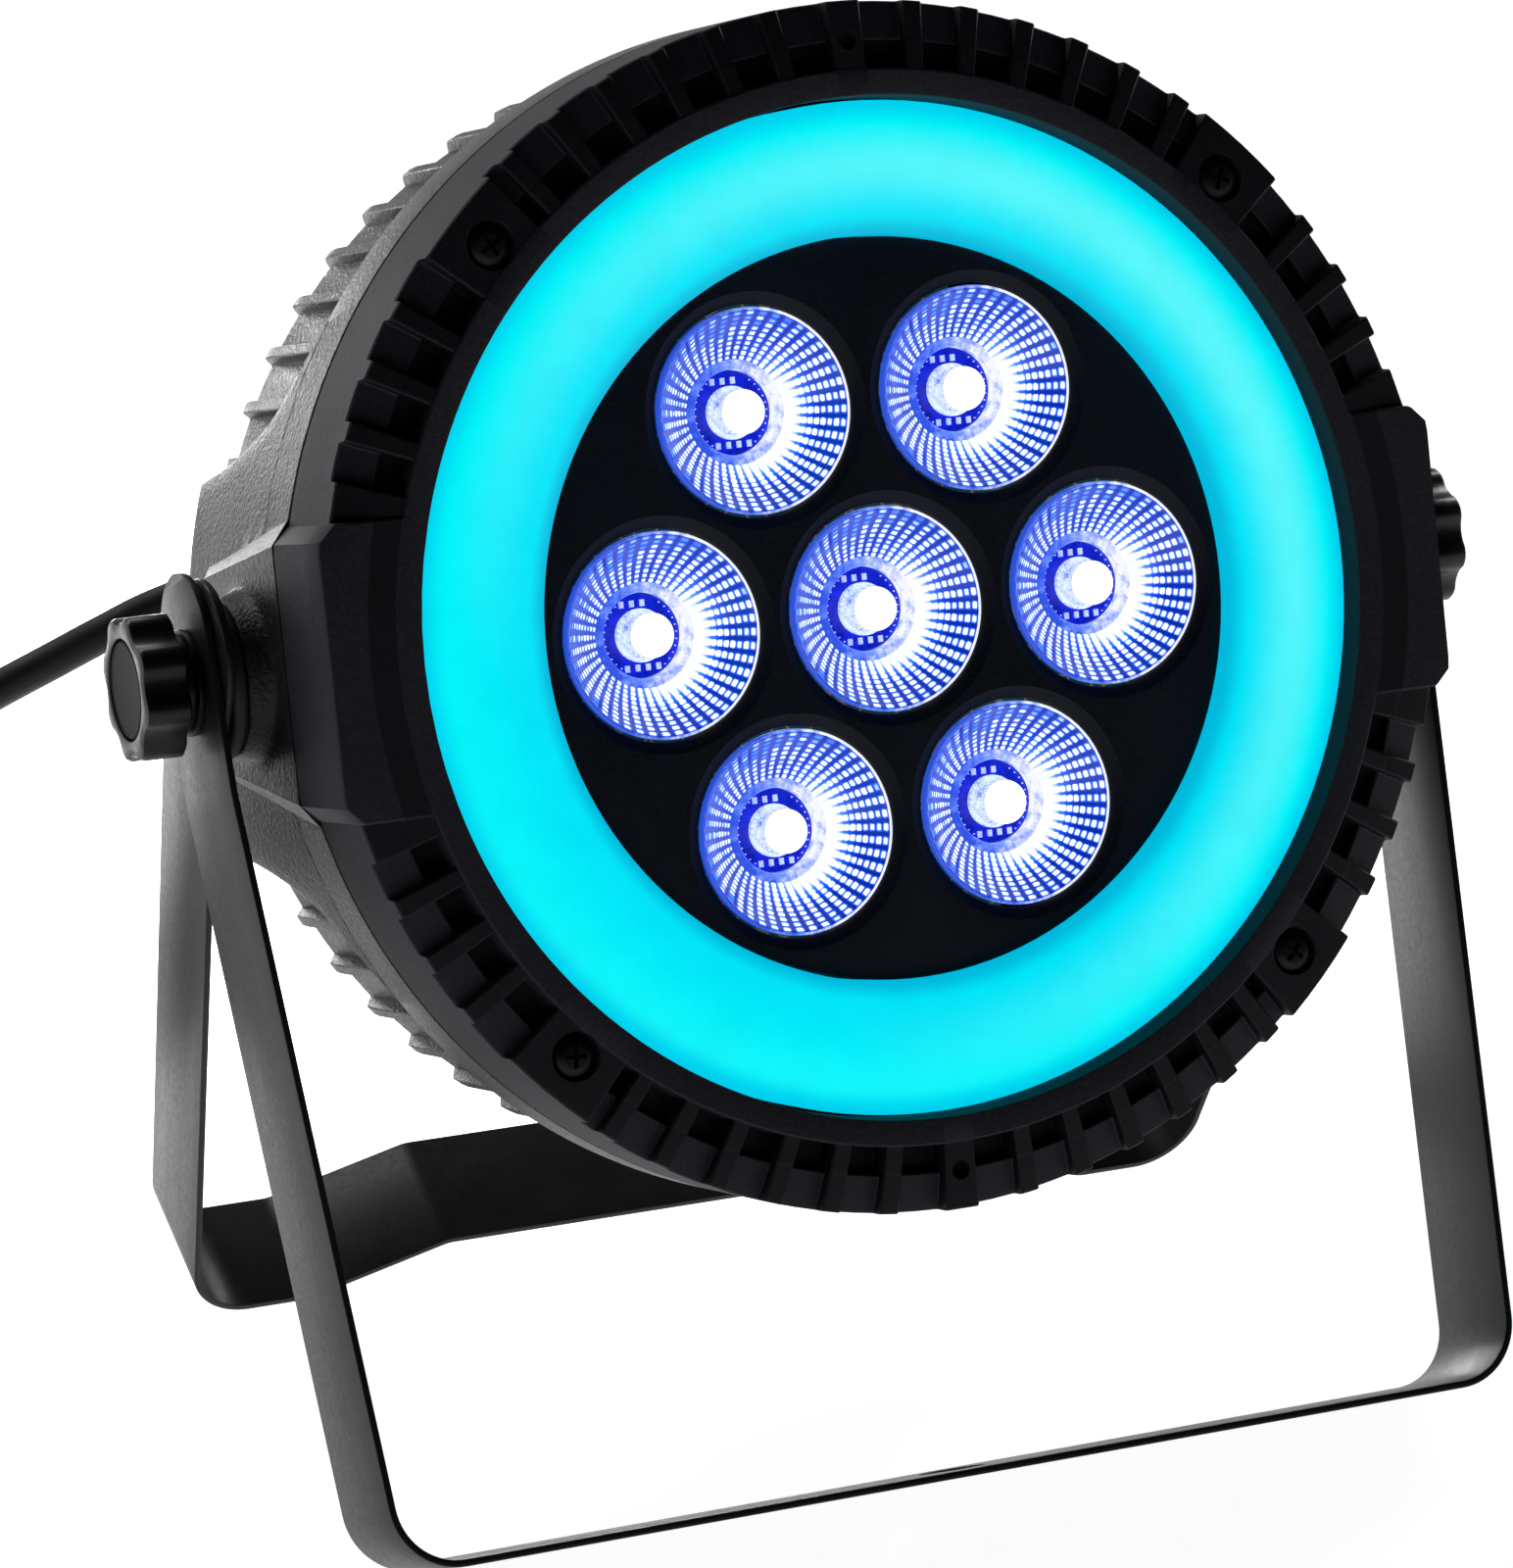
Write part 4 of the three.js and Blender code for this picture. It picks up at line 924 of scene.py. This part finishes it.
def facet_cup_mesh():
    """Cone wall of pillowed facets, a smooth collar inside it and the wall of the well."""
    across, down = FACET_COLUMNS * 2, FACET_ROWS * 2
    points = []
    for i in range(down + 1):
        t = i / down
        radius, y = 19.75 - 9.35 * t, -39.9 + 9.9 * t + 0.9 * sin(pi * t)
        for j in range(across):
            angle = 2 * pi * j / across
            lift = 0.32 * (1 - t * 0.5) if (i % 2 and j % 2) else (0.16 if (i % 2 or j % 2) else 0)
            r = radius - lift * 0.7
            points.append((r * cos(angle), y - lift * 0.7, r * sin(angle)))
    faces = quads(down + 1, across)
    coords = [(j / 2, i / 2) for i in range(down) for j in range(across)]
    extra = [(10.4, -30.0), (8.7, -29.9), (8.45, -29.6), (8.45, -26.6), (9.6, -26.6), (19.0, -36.6),
             (20.2, -38.2), (20.25, -39.9), (20.05, -40.05), (19.85, -40.0)]
    base = len(points)
    points += lathe_points(extra, across)
    loops = [range(start, start + across) for start in range(base - across, len(points), across)]
    loops.append(range(across))
    picks = [0] * len(faces)
    for k, (one, two) in enumerate(zip(loops, loops[1:])):
        for j in range(across):
            n = (j + 1) % across
            faces.append((one[j], one[n], two[n], two[j]))
            picks.append(1)
    return points, faces, picks, coords


def share_out(first, slot, node):
    """Hands over the middle piece of seven and makes the other six from its mesh."""
    for index, (x, z) in enumerate(optic_places()):
        piece = first
        if index:
            place = HEAD @ Matrix.Translation(Vector((x, 0, z)) * MM)
            piece = add_object(f"{first.name[:-1]}{index + 1}", first.data, place)
        hand_over(piece, "head", slot, f"{node}_{index + 1}")


def make_optics():
    points, faces, picks, coords = facet_cup_mesh()
    cup = make_piece("facet_cup_1", points, faces, HEAD, ("facets", "collar"), picks, 25, tidy=False)
    layer = cup.data.uv_layers.new(name="facets")
    for face_index, (u, v) in enumerate(coords):
        loop = cup.data.polygons[face_index].loop_start
        for step, (du, dv) in enumerate(((0, 0), (0.5, 0), (0.5, 0.5), (0, 0.5))):
            layer.data[loop + step].uv = (u + du, v + dv)
    share_out(cup, "optic_clear", "led_optic")


def light_source_mesh():
    """Board in the well, ring of marks round it, and the rod lens over the die."""
    shapes, picks = [], []

    def add(shape, pick):
        shapes.append(shape)
        picks.extend([pick] * len(shape[1]))
    disc = [(0, -27.6), (8.3, -27.6), (8.3, -26.9), (0, -26.9)]
    add(spun(disc, 48), 0)
    for z in (-6.3, 6.3):
        for k in range(4):
            x = -3.4 + 2.2 * k
            if k != 3 or z < 0:
                add(box_points((x - 0.45, -28.0, z - 0.65), (x + 0.45, -27.5, z + 0.65)), 3)
    for k in range(34):
        a = 2 * pi * k / 34
        if abs(sin(a)) < 0.8:
            x, z = 7.6 * cos(a), 7.6 * sin(a)
            add(box_points((x - 0.13, -27.85, z - 0.13), (x + 0.13, -27.5, z + 0.13)), 3)
    side = eased([(0, -27.5), (5.3, -27.5), (5.3, -28.6, 0.3), (4.75, -29.2, 0.3), (4.75, -30.6, 0.3),
                  (4.45, -31.2, 0.3), (4.45, -33.9, 0.2)])
    add(spun(side, 48), 1)
    top = eased([(4.45, -33.9), (4.3, -34.9, 0.4), (3.0, -35.6, 0.6), (0, -35.9)])
    add(spun(top, 48), 2)
    return (*merge_shapes(*shapes), picks)


def make_sources():
    points, faces, picks = light_source_mesh()
    keys = ("well", "lens_side", "lens_face", "mark")
    share_out(make_piece("light_source_1", points, faces, HEAD, keys, picks, 40), "emitter", "led_emitter")


# ---- rear housing

def barrel_shape():
    """Flange, ribbed barrel and cap as one closed shell."""
    barrel = BARREL_RADIUS
    rows = [
        ((115.7, -15.5), None), ((115.7, -21.5), None), ((118.35, -21.5), None), ((118.7, -21.15), None),
        ((118.7, -7.6), None), ((118.5, -7.1), None), ((118.0, -6.9), None),
        ((barrel + 0.3, -5.6), RIB_TOP_RADIUS), ((barrel, -5.0), RIB_TOP_RADIUS),
        ((barrel, 33.0), RIB_TOP_RADIUS), ((barrel, 37.2), 114.7), ((barrel, 38.6), 113.6),
        ((111.6, 40.2), 111.9), ((97.6, 51.0), None), ((95.8, 51.8), None),
        ((94.0, 52.0), None), ((0, 52.0), None), ((0, 49.2), None), ((94.0, 49.2), None),
        ((109.4, 38.0), None), ((109.6, -7.0), None),
    ]
    columns = []
    for k in range(60):
        centre = 3 + 6 * k
        for shift, share in ((-1.9, 0), (-1.55, 0.06), (-1.4, 0.3), (-1.3, 0.9), (-1.05, 1.0), (0, 1.0),
                             (1.05, 1.0), (1.3, 0.9), (1.4, 0.3), (1.55, 0.06), (1.9, 0)):
            columns.append((radians(centre) + shift / barrel, share))
        columns.append((radians(centre + 3), 0))
    points = []
    for (radius, y), rib in rows:
        for angle, share in columns:
            r = radius if rib is None else radius + (rib - radius) * share
            points.append((r * cos(angle), y, r * sin(angle)))
    return points, quads(len(rows), len(columns), True)


def shoulder_shape(side):
    """Smooth block round a pivot, with a curved front edge and soft rim, on the barrel."""
    edge = [(-7.6, 68), (-6.4, 64.5), (-4.6, 60), (-2, 55), (1.2, 51.2), (5, 48.2), (9, 46.0), (14, 44.0),
            (22, 41.6), (31, 39.6), (36.5, 38.5), (39.2, 38.0)]
    across = 24
    points = []
    rows = len(edge)
    for radius, inset, back in ((109.8, 0, 0), (117.6, 0, 0), (118.5, 0.35, 0.35), (118.75, 1.1, 1.0)):
        for y, z in edge:
            half = asin((z - inset) / HEAD_RADIUS)
            for j in range(across + 1):
                angle = -half + 2 * half * j / across
                points.append((side * radius * cos(angle), min(y, 39.2 - back), radius * sin(angle)))
    size = rows * (across + 1)
    grid = quads(rows, across + 1, False, False)
    faces = [tuple(reversed(f)) for f in grid]
    faces += [tuple(i + 3 * size for i in f) for f in grid]
    rim = list(range(across + 1))
    rim += [i * (across + 1) + across for i in range(1, rows)]
    rim += [(rows - 1) * (across + 1) + j for j in range(across - 1, -1, -1)]
    rim += [i * (across + 1) for i in range(rows - 2, 0, -1)]
    for level in range(3):
        for k, here in enumerate(rim):
            after = rim[(k + 1) % len(rim)]
            faces.append((here + level * size, after + level * size, after + (level + 1) * size,
                          here + (level + 1) * size))
    return points, faces


def pad_shape(side):
    """Raised flat pad with wide chamfers that carries the pivot."""
    low = [(-21.5, -29.6), (26.9, -22.9), (26.9, 22.9), (-21.5, 29.6)]
    top = [(-21.5, -25.0), (23.2, -19.2), (23.2, 19.2), (-21.5, 25.0)]
    points = [(side * 108.0, y, z) for y, z in low] + [(side * 115.2, y, z) for y, z in low]
    points += [(side * EAR_X, y, z) for y, z in top]
    faces = quads(3, 4) + [(0, 1, 2, 3), (8, 9, 10, 11)]
    return points, faces


def boss_shape(side):
    line = eased([(0, 100), (14, 100), (22, 118.6), (19.4, 118.9, 0.5), (17.2, 119.4, 0.8),
                  (16.4, 120.8, 0.8), (15.6, 124.1, 0.3), (15.2, 124.4, 0.2), (0, 124.4)])
    points, faces = spun(line, 64, "X")
    return [(side * x, y, z) for x, y, z in points], faces


def make_housing():
    housing = make_piece("housing", *barrel_shape(), HEAD, ("housing",))
    joined = []
    for side in (-1, 1):
        joined += [scratch(shape(side), HEAD) for shape in (shoulder_shape, pad_shape, boss_shape)]
    combine(housing, joined, "UNION")
    ends = ((6.4, 90, 116.2), (4.6, 90, 130), (6.4, -116.2, -90), (4.6, -130, -90))
    cuts = [rod(*end, (0, 0, 0), 32, "X") for end in ends]
    cuts += [box_points((-PANEL_X, 48, PANEL_LOW), (PANEL_X, 54, PANEL_HIGH))]
    cuts += [rod(8.0, 48, 54, (GLAND[0], 0, GLAND[2])), rod(3.2, 48, 54, (0, 0, EYELET_Z))]
    cuts += [rod(11.8, 48, 54, (x, 0, CONNECTOR_Z)) for x in DMX_X]
    cuts += [soft_box((-22, 50.6, -84 + 4.4 * k), (22, 54, -82 + 4.4 * k), 0.9) for k in range(6)]
    carve(housing, cuts, 28)
    hand_over(housing, "head", "housing_plastic", "rear_housing")


# ---- brackets

JOGGLE_HEIGHT, JOGGLE_OUTER, JOGGLE_INNER = 10.6, 91.0, 61.0
ARM_END = 6.5
ARM_TOP = ARM_END + STRIP_WIDTH / 2


def bent_line(path):
    """Points along a line of (x, z, bend radius) with true arcs at its bends."""
    line = []
    for i, (x, z, bend) in enumerate(path):
        here = Vector((x, z))
        if not bend:
            line.append(here)
            continue
        into = (here - Vector(path[i - 1][:2])).normalized()
        out = (Vector(path[i + 1][:2]) - here).normalized()
        turn = acos(max(-1, min(1, into.dot(out))))
        side = 1 if into.x * out.y - into.y * out.x > 0 else -1
        start = here - into * bend * tan(turn / 2)
        centre = start + Vector((-into.y, into.x)) * bend * side
        steps = max(3, round(turn / radians(5)))
        for k in range(steps + 1):
            angle = side * turn * k / steps
            arm = start - centre
            line.append(centre + Vector((arm.x * cos(angle) - arm.y * sin(angle),
                                         arm.x * sin(angle) + arm.y * cos(angle))))
    return line


def make_bracket(name, top, foot, leg, joggle, place):
    """A U of painted strip steel: rounded arm ends, bends, stud holes and a clamp hole."""
    inset = STRIP_THICKNESS / 2
    top, foot, floor = top - inset, foot - inset, -leg + inset
    half = [(-top, ARM_TOP, 0), (-top, -24, 60), (-foot, floor, 13)]
    if joggle:
        half += [(-JOGGLE_OUTER, floor, 8), (-JOGGLE_INNER, floor + JOGGLE_HEIGHT, 8)]
    path = half + [(-x, z, bend) for x, z, bend in reversed(half)]
    line = bent_line(path)[1:-1]
    ends = [(ARM_END + 15 * cos(pi * k / 28), 15 * sin(pi * k / 28)) for k in range(15)]
    stations = [(Vector((-top, z)), max(w, 0.5)) for z, w in ends] + [(p, 15.0) for p in line]
    stations += [(Vector((top, z)), max(w, 0.5)) for z, w in reversed(ends)]
    points = []
    for i, (here, width) in enumerate(stations):
        along = (stations[min(i + 1, len(stations) - 1)][0] - stations[max(i - 1, 0)][0]).normalized()
        across = Vector((-along.y, along.x))
        ring = eased(corners_of(-width, width, -inset, inset, min(0.42, width * 0.4)), True, 2)
        for y, t in ring:
            p = here + across * t
            points.append((p.x, y, p.y))
    count = len(points) // len(stations)
    faces = quads(len(stations), count) + end_faces(count, len(points))
    bracket = make_piece(name, points, faces, place, ("bracket",), sharp=34)
    clamp = [(x, z, y) for x, y, z in rod(7, -leg - 5, -leg + 20, (0, 0, 0), 40)[0]]
    return carve(bracket, [rod(4.6, -140, 140, (0, 0, 0), 32, "X"), (clamp, quads(4, 40))], 34)


def make_brackets():
    front = make_bracket("outer_bracket", 131.4, 122.0, 177.0, False, FRONT_FRAME)
    rear = make_bracket("inner_bracket", 129.5, 117.0, 164.67, True, REAR_FRAME)
    hand_over(front, "front_bracket", "bracket_paint", "front_bracket")
    hand_over(rear, "rear_bracket", "bracket_paint", "rear_bracket")


# ---- pivots

def star_radius(angle):
    wave = cos(8 * angle)
    return 14.8 - 0.85 + 0.85 * (1 if wave >= 0 else -1) * abs(wave) ** 0.7


def knob_points():
    rows = [(133.2, 4.3, 0), (133.2, 9.6, 0), (133.6, 10, 0), (135.4, 10, 0), (135.5, -1.0, 1), (136.1, 0, 1),
            (143.7, 0, 1), (144.4, -0.5, 1), (144.7, -1.6, 1), (144.7, 10.6, 0), (144.5, 10.1, 0),
            (143.2, 9.9, 0), (143.1, 4.3, 0)]
    points = []
    for x, value, star in rows:
        for k in range(128):
            angle = 2 * pi * k / 128
            radius = star_radius(angle) + value if star else value
            points.append((x, radius * cos(angle), radius * sin(angle)))
    return points, quads(len(rows), 128, True)


def make_pivots():
    """Rubber washer, plain washer, star knob and its cap on each side."""
    pad_line = [(4.6, 124.7), (15.4, 124.7, 0.4), (16, 125.4, 0.4), (16, 127.0, 0.4), (15.4, 127.7, 0.4),
                (4.6, 127.7)]
    washer_line = [(4.6, 131.7, 0.2), (10.5, 131.7, 0.25), (10.5, 132.9, 0.25), (4.6, 132.9, 0.2)]
    cap_line = [(0, 143.4), (9.55, 143.4, 0.15), (9.6, 144.2, 0.2), (9.0, 144.5, 0.3), (8.7, 144.3, 0.2),
                (0, 144.25)]
    for side, place in (("right", STACK_RIGHT), ("left", STACK_LEFT)):
        pad = lathe(f"rubber_pad_{side}", pad_line, 72, place, ("rubber",), "X")
        washer = lathe(f"plain_washer_{side}", washer_line, 64, place, ("black_steel",), "X")
        knob = make_piece(f"hand_knob_{side}", *knob_points(), place, ("knob",), sharp=36)
        cap = lathe(f"end_cap_{side}", cap_line, 64, place, ("cap",), "X", closed=False)
        hand_over(pad, "head", "cable_rubber", f"rubber_washer_{side}")
        hand_over(washer, f"{side}_clamp", "screw_black", f"knob_washer_{side}")
        hand_over(knob, f"{side}_knob", "knob_plastic", f"star_knob_{side}")
        hand_over(cap, f"{side}_knob", "knob_plastic", f"knob_cap_{side}")


# ---- back panel

def make_control_panel():
    low = (-PANEL_X + 0.3, BACK_Y - 2.8, PANEL_LOW + 0.3)
    high = (PANEL_X - 0.3, BACK_Y + 0.4, PANEL_HIGH - 0.3)
    panel = make_piece("menu_panel", *soft_box(low, high, 0.4), HEAD, ("panel",))
    window = soft_box((-22, 40, 36), (22, 60, 53), 0.6)
    carve(panel, [window] + [rod(4.3, 40, 60, (x, 0, BUTTON_Z), 40) for x in BUTTON_X])
    hand_over(panel, "head", "plate_black", "control_panel")
    pane = soft_box((-21.7, 50, 36.3), (21.7, 52.75, 52.7), 0.35)
    glass = make_piece("display_pane", *pane, HEAD, ("glass",))
    hand_over(glass, "head", "display_window", "display_window")
    digits = make_piece("display_digits", *seven_segments("0001"), HEAD, ("digit",), tidy=False)
    hand_over(digits, "head", "display_window")
    for index, x in enumerate(BUTTON_X):
        line = [(0, 54.75), (2.4, 54.7, 0.4), (3.3, 54.6, 0.5), (4.0, 53.9, 0.5), (4.0, 49.0), (0, 49.0)]
        button = lathe(f"push_button_{index + 1}", line, 48, HEAD, ("button",), centre=(x, 0, BUTTON_Z),
                       closed=False)
        hand_over(button, f"menu_button_{index + 1}", "button_rubber", f"menu_button_{index + 1}")


SEGMENTS = {"0": "abcdef", "1": "bc"}


def seven_segments(text):
    """Raised glowing bars of a four-figure display, read from behind."""
    bars = {"a": (0, 5.0, 3.0, 0.55), "d": (0, -5.0, 3.0, 0.55), "b": (3.2, 2.5, 0.55, 2.2),
            "c": (3.2, -2.5, 0.55, 2.2), "e": (-3.2, -2.5, 0.55, 2.2), "f": (-3.2, 2.5, 0.55, 2.2)}
    shapes = []
    for place, figure in enumerate(text):
        middle = 14.4 - 9.6 * place
        for key in SEGMENTS[figure]:
            x, z, wide, tall = bars[key]
            x = middle - x + z * 0.12
            shapes.append(box_points((x - wide, 52.6, 44.5 + z - tall), (x + wide, 52.8, 44.5 + z + tall)))
    return merge_shapes(*shapes)


def make_connectors():
    plate = make_piece("connector_carrier", *soft_box((-2.7, 49.2, -53.7), (62.7, 52.0, -18.3), 0.4), HEAD,
                       ("panel",))
    carve(plate, [rod(11.8, 40, 60, (x, 0, CONNECTOR_Z), 56) for x in DMX_X])
    hand_over(plate, "head", "housing_plastic", "connector_plate")
    for index, x in enumerate(DMX_X):
        low, high = (x - 13, 52.3, CONNECTOR_Z - 15.5), (x + 13, 54.2, CONNECTOR_Z + 15.5)
        flange = make_piece(f"data_connector_{index + 1}", *soft_box(low, high, 0.7, 4), HEAD, ("socket",))
        combine(flange, [scratch(rod(11.5, 36, 53, (x, 0, CONNECTOR_Z), 64), HEAD)], "UNION")
        corners = [(x + sense * 9.6, 0, CONNECTOR_Z + sense * 12.2) for sense in (1, -1)]
        key = box_points((x - 1.2, 44, CONNECTOR_Z - 10), (x + 1.2, 60, CONNECTOR_Z - 8))
        holes = [rod(8.6, 41, 60, (x, 0, CONNECTOR_Z), 64)] + [rod(1.6, 52.9, 60, c, 24) for c in corners]
        carve(flange, holes + [key])
        hand_over(flange, "head", "socket_metal", f"dmx_socket_{index + 1}")
        line = eased([(0, 46.2), (0.7, 46.1, 0.3), (1.2, 45.4, 0.4), (1.2, 40.8), (0, 40.8)])
        pins = [spun(line, 16, centre=on_circle(3.8, angle, x, CONNECTOR_Z)) for angle in (-50, 90, 230)]
        contacts = make_piece(f"contact_pins_{index + 1}", *merge_shapes(*pins), HEAD, ("nickel",))
        hand_over(contacts, "head", "socket_metal")
        for number, centre in enumerate(corners):
            line = [(0, 54.1), (1.2, 54.1, 0.3), (1.55, 53.6, 0.3), (1.55, 53.0), (0, 53.0)]
            name = f"flange_screw_{index + 1}_{number + 1}"
            screw = lathe(name, line, 20, HEAD, ("nickel",), centre=centre, closed=False)
            hand_over(screw, "head", "socket_metal")


def make_gland():
    line = [(0, 44.5), (7.7, 44.5), (7.7, 52.3), (11.0, 52.3, 0.3), (11.4, 52.7, 0.3), (11.4, 55.4, 0.8),
            (10.2, 56.4, 0.6), (9.0, 57.6, 0.4)]
    for k in range(5):
        y = 60.8 + 2.9 * k
        radius = 9.0 - 0.62 * k
        line += [(radius, y, 0.2), (radius - 1.1, y + 0.3, 0.2), (radius - 1.3, y + 1.5, 0.2),
                 (radius - 0.4, y + 1.8, 0.2)]
    line += [(5.6, 76, 0.5), (4.2, 76.0), (4.2, 75.0), (0, 75.0)]
    gland = lathe("lead_gland", line, 64, HEAD, ("gland",), centre=(GLAND[0], 0, GLAND[2]), closed=False)
    hand_over(gland, "head", "gland_rubber", "cable_gland")


def make_eyelet():
    points = []
    for k in range(64):
        turn = 2 * pi * k / 64
        for j in range(20):
            around = 2 * pi * j / 20
            reach = 7 + EYELET_WIRE * cos(around)
            points.append((EYELET_WIRE * sin(around), BACK_Y + 9.5 + reach * cos(turn),
                           EYELET_Z + reach * sin(turn)))
    eyelet = make_piece("cable_eye", points, quads(64, 20, True), HEAD, ("zinc",))
    line = eased([(0, 46.2), (2.8, 46.2), (2.8, 52.4), (4.6, 52.4, 0.3), (5.0, 52.7, 0.3), (5.0, 53.8, 0.3),
                  (4.6, 54.1, 0.3), (0, 54.1)])
    stem = scratch(spun(line, 40, centre=(0, 0, EYELET_Z)), HEAD)
    finish_edges(combine(eyelet, [stem], "UNION"))
    hand_over(eyelet, "head", "zinc_steel", "safety_eyelet")


CARRIED = {
    "main_led_board": "board", "halo_led_board": "board", "power_supply": "board", "control_board": "board",
    "heat_sink": "aluminium",
    "threaded_insert_right": "brass", "threaded_insert_left": "brass",
    "knob_stud_right": "zinc", "knob_stud_left": "zinc",
}


def dress_carried_nodes():
    """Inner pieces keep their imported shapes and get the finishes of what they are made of."""
    for name, key in CARRIED.items():
        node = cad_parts[name]
        node.data.materials.clear()
        node.data.materials.append(MAT[key])


# ---- set and light

def make_floor():
    mesh = bpy.data.meshes.new("floor")
    signs = ((-1, -1), (1, -1), (1, 1), (-1, 1))
    mesh.from_pydata([(x * FLOOR_REACH, y * FLOOR_REACH, FLOOR_LEVEL) for x, y in signs], [], [(0, 1, 2, 3)])
    mesh.materials.append(MAT["floor"])
    add_object("floor", mesh)


def make_world():
    """Light low down and behind the lamp, dark in front and overhead."""
    world = bpy.data.worlds.new("studio")
    world.use_nodes = True
    bpy.context.scene.world = world
    world.node_tree.nodes.clear()
    s = Nodes(world.node_tree, "Generated")
    _, y, z = s.axes()
    behind = s.ramp(s.plus(s.times(y, 0.5), 0.5), [(0.30, 0.03), (0.66, 1.0)])
    low = s.ramp(z, [(0.02, 0.9), (0.26, 0.04)])
    back = s.node("ShaderNodeBackground", Strength=s.times(behind, low))
    s.node("ShaderNodeOutputWorld", Surface=back.outputs[0])


def area_light(name, place, target, width, height, power):
    data = bpy.data.lights.new(name, "AREA")
    data.shape = "RECTANGLE"
    data.size, data.size_y = width, height
    data.energy = power
    lamp = add_object(name, data)
    lamp.location = place
    lamp.rotation_euler = (Vector(target) - Vector(place)).to_track_quat("-Z", "Y").to_euler()


def light_up():
    """Soft boxes to the left and behind, on the right and overhead; little falls on the face."""
    area_light("left_strip", (-0.62, 1.05, 0.66), (0, 0, 0.16), 0.08, 0.8, 1.8)
    area_light("low_back_box", (0.05, 0.8, 0.05), (-0.1, 0, 0.08), 0.5, 0.08, 3)
    area_light("right_strip", (1.0, 0.55, 0.45), (0, 0, 0.16), 0.2, 0.8, 6)
    area_light("top_strip", (-0.35, 0.85, 0.95), (0, 0, 0.16), 0.8, 0.14, 5)


# ---- assembly

make_camera()
make_bezel()
make_bezel_screws()
make_halo()
make_plate()
make_optics()
make_sources()
make_housing()
make_brackets()
make_pivots()
make_control_panel()
make_connectors()
make_gland()
make_eyelet()
make_cord(make_plug() + [make_tie()])
dress_carried_nodes()
make_floor()
make_world()
light_up()
bpy.context.scene.view_settings.view_transform = "Standard"
